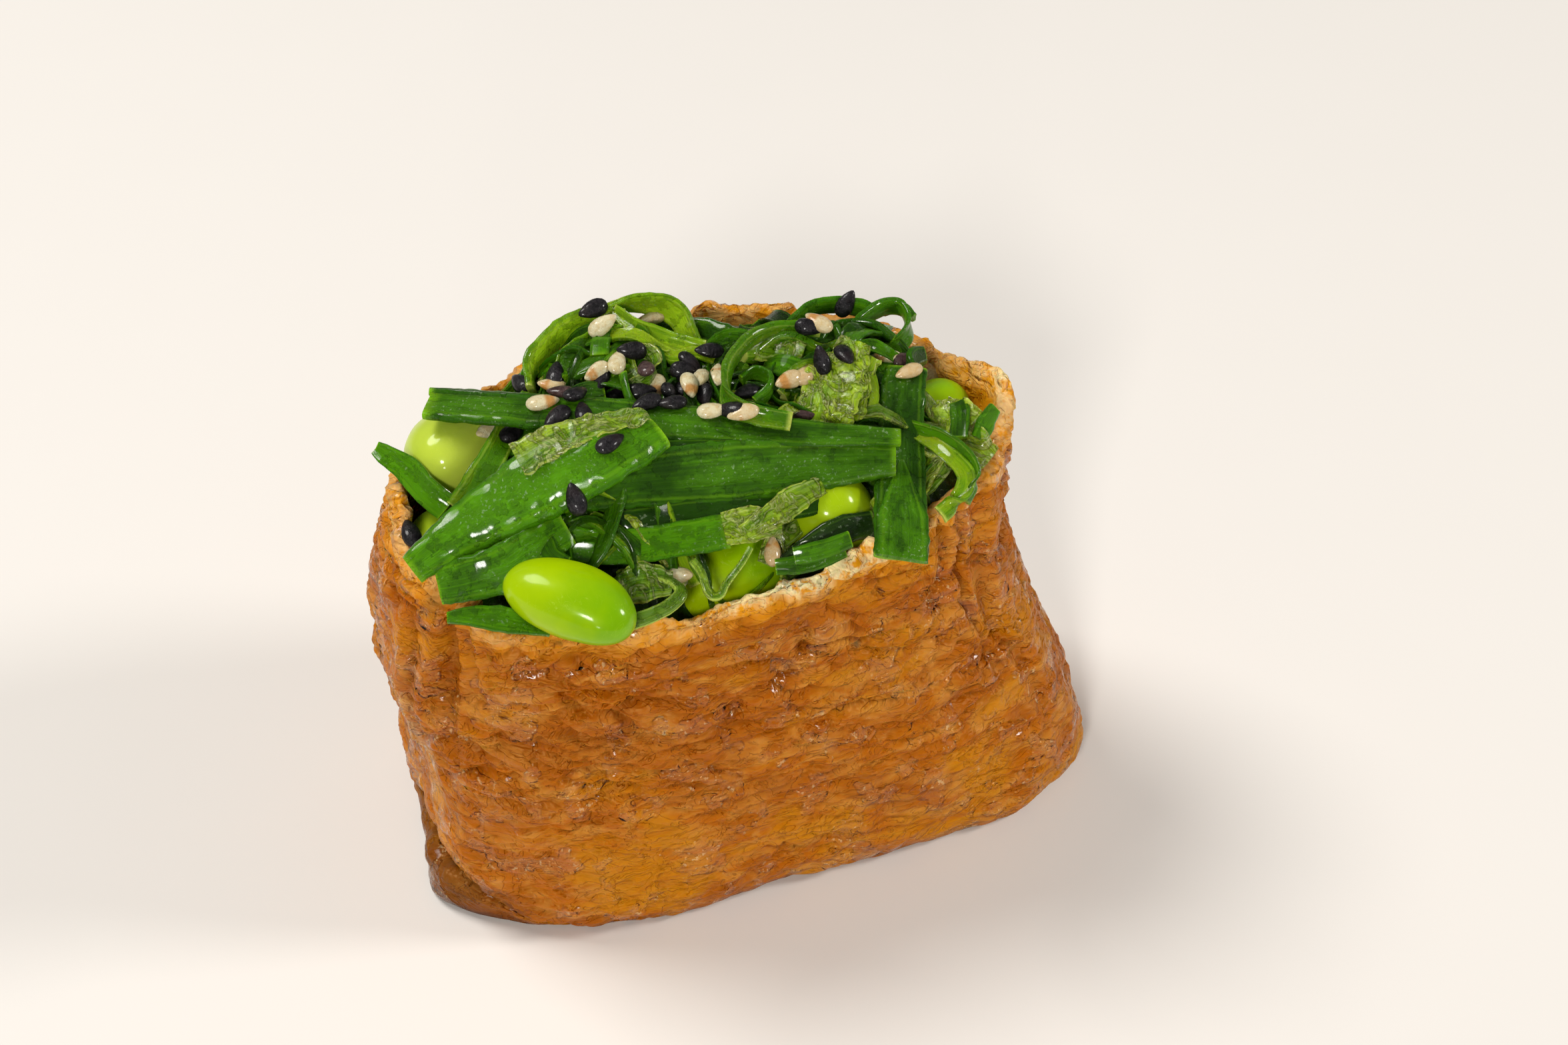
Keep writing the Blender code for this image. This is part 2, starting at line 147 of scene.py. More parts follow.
class Tree:
    """A node tree of any kind that is filled through one method."""

    def __init__(self, tree: bpy.types.NodeTree) -> None:
        """Keeps Blender's own tree."""
        self.tree = tree

    def node(
        self,
        kind: str,
        settings: dict[str, Any] | None = None,
        values: dict[Any, Any] | None = None,
        output: int | str = 0,
    ) -> Wire:
        """Adds a node.

        Args:
            kind: The node's type.
            settings: Its own properties, set before the sockets.
            values: The values or wires of its inputs, by name or number.
            output: The output to return.

        Returns:
            That output.
        """
        made = self.tree.nodes.new(kind)
        for name, value in (settings or {}).items():
            setattr(made, name, value)
        for name, value in (values or {}).items():
            if isinstance(value, Wire):
                self.tree.links.new(value.socket, made.inputs[name])
            else:
                made.inputs[name].default_value = value
        return Wire(self, made.outputs[output])

    def vector(self, x: Any, y: Any, z: Any) -> Wire:
        """A vector of three values."""
        return self.node("ShaderNodeCombineXYZ", values={0: x, 1: y, 2: z})

    def parts(self, vector: Wire) -> tuple[Wire, Wire, Wire]:
        """A vector's three values."""
        first = self.node("ShaderNodeSeparateXYZ", values={0: vector})
        outputs = first.socket.node.outputs
        return tuple(Wire(self, outputs[i]) for i in range(3))

    def arrows(self, operation: str, first: Any, second: Any) -> Wire:
        """Adds a Vector Math node on two vectors; SCALE takes a value as its second."""
        place = "Scale" if operation == "SCALE" else 1
        return self.node("ShaderNodeVectorMath", {"operation": operation}, {0: first, place: second})

    def grain(self, vector: Any, scale: float, detail: float = 2.0, rough: float = 0.5, bend: float = 0.0) -> Wire:
        """Adds a noise texture.

        Args:
            vector: Where it is read.
            scale: How many of its waves fit into one unit.
            detail: Its number of finer layers.
            rough: How strong the finer layers are.
            bend: How much it is distorted.

        Returns:
            A value around 0.5.
        """
        values = {"Vector": vector, "Scale": scale, "Detail": detail, "Roughness": rough, "Distortion": bend}
        return self.node("ShaderNodeTexNoise", values=values)


class Paint(Tree):
    """The nodes of one material, with a Principled shader at the end."""

    def __init__(self, name: str, constants: dict[str, Any]) -> None:
        """Makes the material.

        Args:
            name: The material's name.
            constants: Values that are the same all over, set on the shader's own sockets.
        """
        self.material = bpy.data.materials.new(name)
        self.material.use_nodes = True
        super().__init__(self.material.node_tree)
        self.shader = self.tree.nodes["Principled BSDF"]
        for socket, value in constants.items():
            self.shader.inputs[socket].default_value = value
        self.place = self.node("ShaderNodeTexCoord", output="Object")

    def stretched(self, x: float, y: float, z: float) -> Wire:
        """Object coordinates multiplied by a factor along each axis."""
        return self.arrows("MULTIPLY", self.place, (x, y, z))

    def read(self, name: str) -> Wire:
        """The value of a named attribute of the mesh."""
        return self.node("ShaderNodeAttribute", {"attribute_name": name}, output="Fac")

    def blend(self, share: Any, first: Any, second: Any) -> Wire:
        """Mixes two colours.

        Args:
            share: How much of the second colour shows, from 0 to 1.
            first: A colour or a wire.
            second: A colour or a wire.

        Returns:
            The mixed colour.
        """
        colours = [value if isinstance(value, Wire) else (*value, 1.0) for value in (first, second)]
        values = {0: share, 6: colours[0], 7: colours[1]}
        return self.node("ShaderNodeMix", {"data_type": "RGBA", "blend_type": "MIX"}, values, 2)

    def layers(self, base: Any, *coats: tuple[Any, Any]) -> Any:
        """Lays colours over each other.

        Args:
            base: The lowest colour.
            coats: How much of each further colour shows, and that colour, from the lowest up.

        Returns:
            The mixed colour.
        """
        for share, colour in coats:
            base = self.blend(share, base, colour)
        return base

    def give(self, **wires: Wire) -> None:
        """Links wires to the shader's sockets, whose names have _ for a space."""
        for name, wire in wires.items():
            self.tree.links.new(wire.socket, self.shader.inputs[name.replace("_", " ")])

    def relief(self, height: Wire, depth_mm: float, strength: float = 1.0, under: Wire | None = None) -> Wire:
        """Adds a bump.

        Args:
            height: The relief, from 0 to 1.
            depth_mm: How deep a step from 0 to 1 is.
            strength: How much of it shows.
            under: A coarser bump below it.

        Returns:
            The bent normal.
        """
        values = {"Height": height, "Distance": depth_mm * MM, "Strength": strength}
        if under:
            values["Normal"] = under
        return self.node("ShaderNodeBump", values=values)


# ------------------------------------------------------------------------------------------------ finishes


@dataclass(frozen=True)
class TofuFinish:
    """Fried tofu skin simmered in sweet sauce: caramel brown, moist, with pale torn edges."""

    caramel: Colour = (0.47, 0.128, 0.001)
    # light: a paler random tan, also used for the painted highlight on the ridges
    light: Colour = (0.58, 0.235, 0.032)
    golden: Colour = (0.56, 0.205, 0.001)
    # crease: the painted shade in the skin's creases and pits
    crease: Colour = (0.22, 0.042, 0.0)
    # brown: a random darker tone, also used for the painted shade on the upper front and in the wrinkles' hollows
    brown: Colour = (0.36, 0.086, 0.0)
    # under: the painted shadow under the folded corner and along the foot
    under: Colour = (0.085, 0.017, 0.0)
    # torn: the cream of the torn edges, also used for the painted glint dots
    torn: Colour = (1.0, 0.84, 0.46)
    glow: Colour = (0.82, 0.34, 0.006)
    speck: Colour = (0.07, 0.075, 0.04)

    def material(self) -> bpy.types.Material:
        """Makes the material, which reads the masks that the skin's mesh carries; it paints shade into the creases,
        pits and hollows, shadow under the folded corner, highlights on the ridges and glint dots on the wet patches.
        """
        paint = Paint(
            "fried_tofu_skin",
            {
                "Subsurface Weight": 0.35,
                "Subsurface Radius": (1.0, 0.42, 0.14),
                "Subsurface Scale": 0.0012,
                "Specular IOR Level": 0.4,
                "Specular Tint": (1.0, 0.60, 0.22, 1.0),
                "Coat Roughness": 0.13,
            },
        )
        fold, puff = paint.read("fold"), paint.read("puff")
        level = paint.stretched(1.0, 1.0, 2.2)
        broad = paint.grain(level, 90.0, 2.0, 0.55)
        patches = paint.grain(level, 210.0, 2.0, 0.5, 0.9)
        wrinkle = paint.grain(level, 250.0, 3.0, 0.45, 0.9)
        crests = (wrinkle - 0.52).size().between(0.04, 0.0)
        layer = paint.grain(paint.stretched(1.0, 1.0, 2.0), 180.0, 3.0, 0.55, 1.6)
        flakes = layer.between(0.4, 0.43) + layer.between(0.53, 0.555)
        pits = paint.grain(paint.stretched(1.0, 1.0, 1.6), 420.0, 2.0, 0.5, 1.0).between(0.4, 0.26)

        crumbs = paint.grain(paint.place, 800.0, 3.0, 0.6)
        torn = paint.blend(crumbs.between(0.36, 0.54), self.glow, self.torn)
        wet = paint.grain(paint.place, 300.0, 2.0, 0.6)
        beads = wet.between(0.53, 0.6)
        # Sparse cream dots on the wet patches: painted glints.
        cream_glints = paint.grain(paint.place, 1900.0, 2.0, 0.5).between(0.62, 0.7) * wet.between(0.5, 0.58)
        colour = paint.layers(
            self.caramel,
            (patches.between(0.42, 0.66) * 0.9, self.light),
            (broad.between(0.5, 0.62) * 0.8, self.golden),
            (broad.between(0.5, 0.4) * 0.5, self.brown),
            # painted shade: the upper front wall is browner, where the lamps light it less
            (paint.read("front_shade") * patches.between(0.7, 0.4), self.brown),
            # painted shade: the hollows of the wrinkle relief are browner
            (wrinkle.between(0.5, 0.28) * 0.3, self.brown),
            # painted highlight: the ridges of the bulges are lighter
            (puff.between(0.1, 0.9) * crests * 0.25, self.light),
            # painted shade: the pits of the relief and the creases of the skin are darker
            (pits * 0.12, self.crease),
            (fold.between(0.1, 0.8) * 0.5, self.crease),
            (paint.read("glow") * 0.85, self.glow),
            # painted shadow: the folded corner under the body and a band along the foot take the darkest brown
            (paint.read("deep"), self.under),
            (paint.read("pale"), torn),
            (paint.read("mark"), self.speck),
            # painted highlight: cream glint dots
            (cream_glints * 0.3, self.torn),
        )
        rough = 0.42 - beads * 0.2
        under = paint.relief(wrinkle * 1.5 + flakes * 0.22 - pits * 0.2, 0.8)
        fine = paint.grain(paint.place, 950.0, 2.0, 0.6) * (beads + 0.12)
        bent = paint.relief(fine, 0.45, 1.0, under)
        paint.give(Base_Color=colour, Roughness=rough, Coat_Weight=beads * 0.5, Normal=bent)
        return paint.material


@dataclass(frozen=True)
class SeaweedFinish:
    """Wet seaweed: fine lines along each strip, paler cut ends, a darker or lighter edge, a painted highlight band near
    each side, painted glint dots, and on clear films painted glint lines along the crumples.
    """

    name: str
    deep: Colour
    fresh: Colour
    edge: Colour
    # cut: the pale colour of the cut ends, also used for the painted highlight band and the painted glint lines
    cut: Colour
    rough: float = 0.2
    through: float = 0.0
    wrinkle: float = 0.3
    sheer: float = 1.0
    gloss: float = 0.15
    # how strongly pale lines are painted along the crumples as painted glints
    glint_streaks: float = 0.0
    # drop: the colour of the painted glint dots, wet sparkle painted into the colour
    drop: Colour = (0.50, 0.68, 0.38)

    def material(self) -> bpy.types.Material:
        """Makes the material, which reads the places that the strips' meshes carry."""
        paint = Paint(
            self.name,
            {
                "Subsurface Weight": 0.3,
                "Subsurface Radius": (0.55, 1.0, 0.25),
                "Subsurface Scale": 0.0012,
                "Specular IOR Level": self.gloss,
                "IOR": 1.4,
                "Coat Roughness": 0.1,
                "Transmission Weight": self.through,
            },
        )
        across, along, reach = paint.read("across"), paint.read("along"), paint.read("reach")
        tone, shift = paint.read("tone"), paint.read("shift")
        lines = paint.grain(paint.vector(across * 13.0, reach * 0.06, shift), 1.0, 3.0, 0.65)
        clouds = paint.grain(paint.vector(across * 0.9, reach * 0.16, shift + 5.0), 1.0, 3.0, 0.6)
        mottle = paint.grain(paint.place, 700.0, 3.0, 0.65)

        fresh = (lines.between(0.34, 0.66) * 0.2 + clouds.between(0.35, 0.65) * 0.6 + tone - 0.4).between(0.0, 1.0)
        ends = along.between(0.03, 0.0).at_least(along.between(0.97, 1.0)) * paint.read("blunt")
        colour = paint.layers(
            self.deep,
            (fresh, self.fresh),
            (mottle.between(0.5, 0.7) * 0.3, self.deep),
            (across.size().between(0.84, 0.97) * 0.7, self.edge),
            # painted highlight: a pale band near each side, where the strip's rounded edge catches the light
            ((across.size() - 0.74).size().between(0.1, 0.0) * 0.25, self.cut),
            (ends, self.cut),
        )

        if self.sheer < 1.0:
            wrinkles = (paint.grain(paint.place, 350.0, 3.0, 0.6, 1.2) - 0.5).size().between(0.08, 0.0)
            # Clear films: pale lines along the crumples in the cut colour, painted glints.
            colour = paint.blend(wrinkles.between(0.55, 1.0) * self.glint_streaks, colour, self.cut)
        else:
            wrinkles = paint.grain(paint.vector(across * 20.0, reach * 5.0, shift), 1.0, 3.0, 0.75, 0.8)
        wetness = clouds.between(0.48, 0.58).at_least(mottle.between(0.52, 0.6) * 0.6)
        # painted highlight: sparse pale dots where the strip is wet, standing for tiny wet sparkles
        glint_dots = paint.grain(paint.place, 3400.0, 2.0, 0.5).between(0.6, 0.68) * clouds.between(0.46, 0.6)
        colour = paint.blend(glint_dots * 0.4, colour, self.drop)
        under = paint.relief(lines, 0.22, 0.6)
        bent = paint.relief(wrinkles * (wetness * 0.8 + 0.35), self.wrinkle, 1.0, under)
        bent = paint.relief(paint.grain(paint.place, 2600.0, 2.0, 0.6) * wetness, 0.6, 0.4, bent)
        paint.give(
            Base_Color=colour,
            Roughness=self.rough + mottle.between(0.4, 0.7) * 0.14,
            Coat_Weight=0.1 + wetness * 0.6,
            Normal=bent,
        )
        if self.sheer < 1.0:
            paint.give(Alpha=(lines.between(0.3, 0.7) * 0.35 + self.sheer).at_most(1.0))
        return paint.material


@dataclass(frozen=True)
class BeanFinish:
    """A cooked green soybean in its thin glossy skin."""

    name: str = "soybean_skin"
    green: Colour = (0.19, 0.41, 0.0)
    yellow: Colour = (0.36, 0.54, 0.0)
    pale: Colour = (0.62, 0.72, 0.10)
    scar: Colour = (0.16, 0.06, 0.012)

    def material(self) -> bpy.types.Material:
        """Makes the material, which reads how pale each bean is and where its scar lies."""
        paint = Paint(
            self.name,
            {
                "Subsurface Weight": 0.35,
                "Subsurface Radius": (0.9, 1.0, 0.2),
                "Subsurface Scale": 0.0025,
                "Specular IOR Level": 0.2,
                "Specular Tint": (0.8, 1.0, 0.3, 1.0),
                "IOR": 1.42,
                "Coat Roughness": 0.1,
            },
        )
        clouds = paint.grain(paint.place, 150.0, 3.0, 0.55)
        fine = paint.grain(paint.place, 1300.0, 2.0, 0.6)
        scratch = paint.grain(paint.stretched(1.0, 0.35, 1.0), 900.0, 1.0, 0.5, 2.0)
        lines = (scratch - 0.5).size().between(0.012, 0.0) * clouds.between(0.5, 0.6)
        colour = paint.layers(
            self.yellow,
            ((paint.read("end") * 0.5 + clouds * 1.2 - 0.1).between(0.2, 1.0), self.green),
            (paint.read("pale"), self.pale),
            (lines * 0.3, self.pale),
            (paint.read("scar"), self.scar),
        )
        bent = paint.relief(fine, 0.035, 0.6, paint.relief(clouds, 0.5, 0.5))
        paint.give(Base_Color=colour, Roughness=0.3 + fine.between(0.4, 0.8) * 0.12, Normal=bent)
        paint.give(Coat_Weight=clouds.between(0.3, 0.6) * 0.35 + 0.1)
        return paint.material


@dataclass(frozen=True)
class SeedFinish:
    """A sesame seed's husk, with blotched stains round its middle, and toasted all over on some seeds."""

    name: str
    husk: Colour
    shade: Colour
    stain: Colour
    rough: float
    coat: float = 0.8
    toasted: float = 0.0

    def material(self) -> bpy.types.Material:
        """Makes the material, which reads how far each point lies towards the seed's tip."""
        paint = Paint(
            self.name,
            {
                "Subsurface Weight": 0.12,
                "Subsurface Radius": (1.0, 0.8, 0.5),
                "Subsurface Scale": 0.0006,
                "Specular IOR Level": 0.2,
                "Coat Roughness": 0.12,
            },
        )
        tip, shift = paint.read("tip"), paint.read("shift")
        cells = paint.grain(paint.place, 1900.0, 3.0, 0.65)
        blotch = paint.grain(paint.place, 600.0, 2.0, 0.5).between(0.42, 0.53)
        stained = (tip - 0.5).size().between(0.4, 0.12) * shift.between(0.15, 0.35) * blotch
        colour = paint.layers(
            self.husk,
            (cells.between(0.38, 0.66), self.shade),
            (shift.between(0.6, 0.85) * self.toasted, self.stain),
            (stained * 0.85, self.stain),
        )
        bent = paint.relief(cells, 0.2)
        paint.give(Base_Color=colour, Roughness=self.rough + cells * 0.2, Normal=bent)
        paint.give(Coat_Weight=cells.between(0.4, 0.6) * self.coat)
        return paint.material


@dataclass(frozen=True)
class FloorFinish:
    """A plain pale surface."""

    colour: Colour = (0.85, 0.82, 0.78)
    darkest: float = 0.985

    def material(self) -> bpy.types.Material:
        """Makes the material."""
        paint = Paint("pale_floor", {"Specular IOR Level": 0.2})
        grain = paint.grain(paint.place, 60.0, 3.0)
        dark = tuple(value * self.darkest for value in self.colour)
        paint.give(Base_Color=paint.blend(grain, self.colour, dark), Roughness=0.75 + grain * 0.1)
        return paint.material


# ------------------------------------------------------------------------------------------- shared shapes


def metres(points: np.ndarray) -> np.ndarray:
    """Points of the drawing in the object's own frame."""
    return (np.asarray(points, float) - MIDDLE) * MM


def hump(distance: np.ndarray, half_width: float) -> np.ndarray:
    """A smooth bump of height 1 at distance 0."""
    return np.exp(-((distance / half_width) ** 2))


def turn_between(a: np.ndarray, b: float) -> np.ndarray:
    """The angle from b to a in degrees, between -180 and 180."""
    return (a - b + 180.0) % 360.0 - 180.0


def beside(turn: np.ndarray, direction: float, half_width: float) -> np.ndarray:
    """A smooth bump of height 1 in a direction, over its half width in degrees."""
    return hump(turn_between(turn, direction), half_width)


def mix(a: Any, b: Any, share: Any) -> Any:
    """The value at a share of the way from a to b."""
    return a + (b - a) * share


def ease(value: Any, start: float, end: float) -> Any:
    """0 before start, 1 after end, and smooth between them."""
    share = np.clip((value - start) / (end - start), 0.0, 1.0)
    return share * share * (3.0 - 2.0 * share)


def plateau(values: np.ndarray, limit: float) -> np.ndarray:
    """0 where the values cross 0, rising straight to 1 where their size reaches the limit."""
    return np.minimum(np.abs(values), limit) / limit


def noise_at(points: np.ndarray, stretch: Triple | float, layer: float) -> np.ndarray:
    """Smooth noise from about -1 to 1.

    Args:
        points: Points in millimetres, in an array of any shape whose last side is 3.
        stretch: How many waves there are to a millimetre, along each axis or along all.
        layer: Picks one of many independent patterns.

    Returns:
        The noise at each point.
    """
    moved = points.reshape(-1, 3) * np.array(stretch) + layer * np.array((11.3, 7.7, 5.1))
    values = [noise.noise(Vector(point)) for point in moved]
    return np.array(values).reshape(points.shape[:-1])


def unit(vectors: np.ndarray) -> np.ndarray:
    """Vectors made one long."""
    return vectors / np.maximum(np.linalg.norm(vectors, axis=-1, keepdims=True), 1e-9)


def smooth_line(points: Sequence[Triple], steps: int) -> np.ndarray:
    """Points on a Catmull-Rom curve through the given ones."""
    nodes = np.array(points, float)
    nodes = np.vstack((nodes[0] * 2 - nodes[1], nodes, nodes[-1] * 2 - nodes[-2]))
    place = np.linspace(0.0, len(points) - 1.0, steps + 1)
    first = np.minimum(place.astype(int), len(points) - 2)
    t = (place - first)[:, None]
    a, b, c, d = (nodes[first + i] for i in range(4))
    return (b * 2 + (c - a) * t + (a * 2 - b * 5 + c * 4 - d) * t**2 + (b * 3 - a - c * 3 + d) * t**3) / 2


def placed(name: str, data: bpy.types.ID) -> bpy.types.Object:
    """Adds an object to the scene."""
    thing = bpy.data.objects.new(name, data)
    bpy.context.scene.collection.objects.link(thing)
    return thing


def make_piece(
    name: str,
    points: np.ndarray,
    faces: Iterable[Sequence[int]],
    marks: dict[str, np.ndarray],
    material: bpy.types.Material,
) -> bpy.types.Object:
    """Makes a smooth mesh object.

    Args:
        name: The piece's name.
        points: Its points, in the drawing's frame.
        faces: The numbers of each face's corners.
        marks: Values at the points that its material reads.
        material: Its material.

    Returns:
        The object, already in the scene.
    """
    mesh = bpy.data.meshes.new(name)
    mesh.from_pydata(metres(points).tolist(), [], [tuple(face) for face in faces])
    for mark, values in marks.items():
        mesh.attributes.new(mark, "FLOAT", "POINT").data.foreach_set("value", np.asarray(values, np.float32).ravel())
    mesh.materials.append(material)
    mesh.shade_smooth()
    mesh.validate()
    return placed(name, mesh)


def ring_faces(rings: int, around: int) -> list[tuple[int, ...]]:
    """Quads between rings of points that follow each other, and a fan over each end to two last points."""
    faces = []
    for row in range(rings - 1):
        low, high = row * around, (row + 1) * around
        for i in range(around):
            j = (i + 1) % around
            faces.append((low + i, low + j, high + j, high + i))
    first, last = rings * around, rings * around + 1
    top = (rings - 1) * around
    for i in range(around):
        j = (i + 1) % around
        faces.append((first, j, i))
        faces.append((last, top + i, top + j))
    return faces


def with_ends(rings: np.ndarray) -> np.ndarray:
    """Rings of points in one list, with the middles of the first ring and the last after them."""
    return np.vstack((rings.reshape(-1, 3), rings[0].mean(axis=0), rings[-1].mean(axis=0)))


# ----------------------------------------------------------------------------------------------- the pouch


@dataclass(frozen=True)
class Bump:
    """A swelling of the pouch's wall, or with a negative reach a fold."""

    direction: float
    reach: float
    half_width: float
    height: float
    half_height: float


@dataclass(frozen=True)
class RimBump:
    """A high or low stretch of the rim."""

    direction: float
    gain: float
    half_width: float


@dataclass(frozen=True)
class Patch:
    """A soft-edged place on the wall with something special about it."""

    direction: float
    half_width: float
    height: float
    half_height: float
    strength: float

    def at(self, turn: np.ndarray, height: np.ndarray) -> np.ndarray:
        """1 at its middle, fading to 0 round it."""
        return beside(turn, self.direction, self.half_width) * hump(height - self.height, self.half_height)


WALL_BUMPS = (
    Bump(-4.0, 1.5, 7.0, 43.0, 5.0),  # the pinched ear at the right of the mouth
    Bump(14.0, -1.5, 13.0, 42.0, 12.0),  # the hollow behind the ear
    Bump(176.0, -2.6, 26.0, 42.0, 7.0),  # the rim leans in at the left end
    Bump(-20.0, 1.4, 11.0, 3.0, 7.0),  # the lower right corner
    Bump(-38.0, 0.8, 9.0, 3.0, 7.0),
    Bump(-31.0, -1.0, 4.5, 28.0, 14.0),  # two upright folds under the ear
    Bump(-24.0, 0.9, 4.0, 26.0, 13.0),
    Bump(-160.0, -1.0, 4.0, 34.0, 11.0),  # upright folds at the front of the left end
    Bump(-170.0, 0.8, 5.0, 26.0, 8.0),
    Bump(-150.0, 0.8, 6.0, 36.0, 8.0),
    Bump(179.0, 0.7, 8.0, 23.0, 5.0),  # a ridge at the left end, with the wall drawn in below it
    Bump(181.0, -1.0, 12.0, 13.0, 4.0),
    Bump(199.0, 1.0, 13.0, 7.0, 5.0),  # the body bulges over the folded corner
    Bump(-130.0, 0.9, 14.0, 5.0, 8.0),
    Bump(-120.0, 0.7, 24.0, 15.0, 9.0),
    Bump(-70.0, -0.7, 22.0, 30.0, 8.0),
    Bump(-60.0, 0.7, 26.0, 12.0, 8.0),
    Bump(40.0, -0.9, 7.0, 24.0, 13.0),
    Bump(95.0, -0.9, 18.0, 22.0, 10.0),
    Bump(135.0, 0.9, 12.0, 16.0, 9.0),
    Bump(160.0, -0.8, 5.0, 26.0, 12.0),
)

RIM_BUMPS = (
    RimBump(178.0, 2.2, 26.0),
    RimBump(-4.0, 2.6, 7.0),
    RimBump(14.0, -0.3, 12.0),
    RimBump(58.0, 0.8, 16.0),
    RimBump(-58.0, 0.8, 14.0),
    RimBump(-143.0, -0.8, 14.0),
    RimBump(110.0, 0.6, 20.0),
)

# Upright creases, by the direction they lie in
PLEATS = (
    Patch(-161.0, 1.3, 33.0, 9.0, 0.9),
    Patch(-155.5, 1.1, 35.0, 7.0, 0.6),
    Patch(-168.0, 1.2, 28.0, 9.0, 0.7),
    Patch(-148.0, 1.4, 37.0, 5.0, 0.5),
    Patch(-33.0, 1.3, 30.0, 10.0, 0.8),
    Patch(-28.0, 1.1, 24.0, 12.0, 0.7),
    Patch(-39.0, 1.3, 36.0, 6.0, 0.6),
    Patch(-17.0, 1.2, 32.0, 9.0, 0.6),
    Patch(43.0, 1.5, 28.0, 11.0, 0.8),
    Patch(150.0, 1.4, 30.0, 10.0, 0.8),
    Patch(112.0, 1.8, 30.0, 9.0, 0.5),
    Patch(70.0, 1.8, 27.0, 9.0, 0.5),
)

SEAM = Patch(189.0, 3.5, 19.0, 6.0, 0.5)
SPECKS = (
    Patch(-61.5, 1.1, 27.9, 0.5, 0.8),
    Patch(196.0, 1.6, 36.6, 1.0, 0.45),
    Patch(-72.0, 0.6, 29.5, 0.3, 0.5),
)


@dataclass(frozen=True)
class PouchShape:
    """The pouch's outline: bell-shaped, with a foot that reaches further to the right than the mouth."""

    foot: tuple[float, float] = (-30.4, 34.7)
    mouth: tuple[float, float] = (-33.4, 26.8)
    half_widths: tuple[float, float] = (18.8, 18.2)
    squareness: tuple[float, float] = (3.5, 2.25)
    slope: tuple[float, float] = (1.0, 34.0)
    wall: float = 2.0
    rim_wall: float = 1.3
    floor: float = 2.4
    foot_rounding: float = 3.0
    foot_drawn_in: float = 0.8
    rim_mean: float = 39.3
    rim_tilt: float = 2.7
    rim_high_at: float = 58.0
    flap_at: float = 188.0
    flap_half: float = 29.0
    flap_thickness: float = 3.9
    flap_reach: float = 0.5
    flap_corner: tuple[float, float, float] = (192.0, 7.5, 1.9)

    def rim_height(self, turn: np.ndarray) -> np.ndarray:
        """Height of the mouth in each direction."""
        height = self.rim_mean + self.rim_tilt * np.cos(np.radians(turn - self.rim_high_at))
        for bump in RIM_BUMPS:
            height = height + bump.gain * beside(turn, bump.direction, bump.half_width)
        for count, gain, start in ((7, 0.25, 0.0), (17, 0.2, 40.0)):
            height = height + gain * np.sin(np.radians(count * turn + start))
        return height

    def foot_share(self, height: Any) -> Any:
        """1 at the foot of the wall and 0 where it has the mouth's outline."""
        return 1.0 - ease(height, *self.slope)

    def wall_middle(self, height: Any) -> Any:
        """X of the pouch's middle at a height."""
        return mix(sum(self.mouth), sum(self.foot), self.foot_share(height)) / 2

    def wall_reach(self, turn: np.ndarray, height: Any, inset: Any) -> np.ndarray:
        """Distance from the pouch's middle to its wall, moved in by the inset."""
        foot = self.foot_share(height)
        half_length = mix(self.mouth[1] - self.mouth[0], self.foot[1] - self.foot[0], foot) / 2 - inset
        half_width = mix(self.half_widths[1], self.half_widths[0], foot) - inset
        power = mix(self.squareness[1], self.squareness[0], foot)
        angle = np.radians(turn)
        along = np.abs(np.cos(angle) / half_length) ** power
        across = np.abs(np.sin(angle) / half_width) ** power
        reach = (along + across) ** (-1.0 / power)
        for bump in WALL_BUMPS:
            sideways = beside(turn, bump.direction, bump.half_width)
            reach = reach + bump.reach * sideways * hump(height - bump.height, bump.half_height)
        return reach

    def flap_share(self, turn: np.ndarray) -> np.ndarray:
        """1 where the folded corner under the lower left end is thickest, and 0 away from it."""
        return 1.0 - ease(np.abs(turn_between(turn, self.flap_at)), self.flap_half * 0.25, self.flap_half)

    def crease_height(self, turn: np.ndarray) -> np.ndarray:
        """Height of the crease between the folded corner and the body above it."""
        return mix(0.8, self.flap_thickness, self.flap_share(turn))

    def foot_offset(self, turn: np.ndarray, height: np.ndarray, below_crease: bool) -> np.ndarray:
        """How far the outside lies beyond the plain wall near the surface that the pouch stands on."""
        flap, crease = self.flap_share(turn), self.crease_height(turn)
        above = np.maximum(0.0, height - crease * flap)
        below = np.maximum(0.0, 1.0 - above / self.foot_rounding)
        body = -self.foot_drawn_in * self.foot_rounding * (1.0 - np.sqrt(1.0 - 0.9 * below * below))
        if not below_crease:
            return body
        fullness = 1.0 - (2.0 * height / crease - 1.0) ** 4
        where, half_width, reach = self.flap_corner
        corner = reach * beside(turn, where, half_width) * (1.0 - 0.5 * height / crease)
        return mix(body, self.flap_reach + corner - 0.7 * (1.0 - fullness), flap)

    def at(self, turn: np.ndarray, height: Any, reach: np.ndarray) -> np.ndarray:
        """Points at a distance from the pouch's middle."""
        angle = np.radians(turn)
        height = height + turn * 0.0
        return np.stack((self.wall_middle(height) + reach * np.cos(angle), reach * np.sin(angle), height), axis=-1)

    def outside(self, turn: np.ndarray, height: Any, below_crease: bool = False) -> np.ndarray:
        """Points of the outer face."""
        reach = self.wall_reach(turn, height, 0.0) + self.foot_offset(turn, height + turn * 0.0, below_crease)
        return self.at(turn, height, reach)

    def inside(self, turn: np.ndarray, height: Any, inset: Any) -> np.ndarray:
        """Points of the inner face."""
        return self.at(turn, height, self.wall_reach(turn, height, inset))

    def directions(self, count: int, height: float = 24.0) -> np.ndarray:
        """Directions whose steps along the wall are equally long."""
        fine = np.linspace(0.0, 360.0, 1441)
        outline = self.outside(fine, height)
        length = np.concatenate(((0.0,), np.cumsum(np.linalg.norm(np.diff(outline, axis=0), axis=1))))
        return np.interp(np.arange(count) / count * length[-1], length, fine)


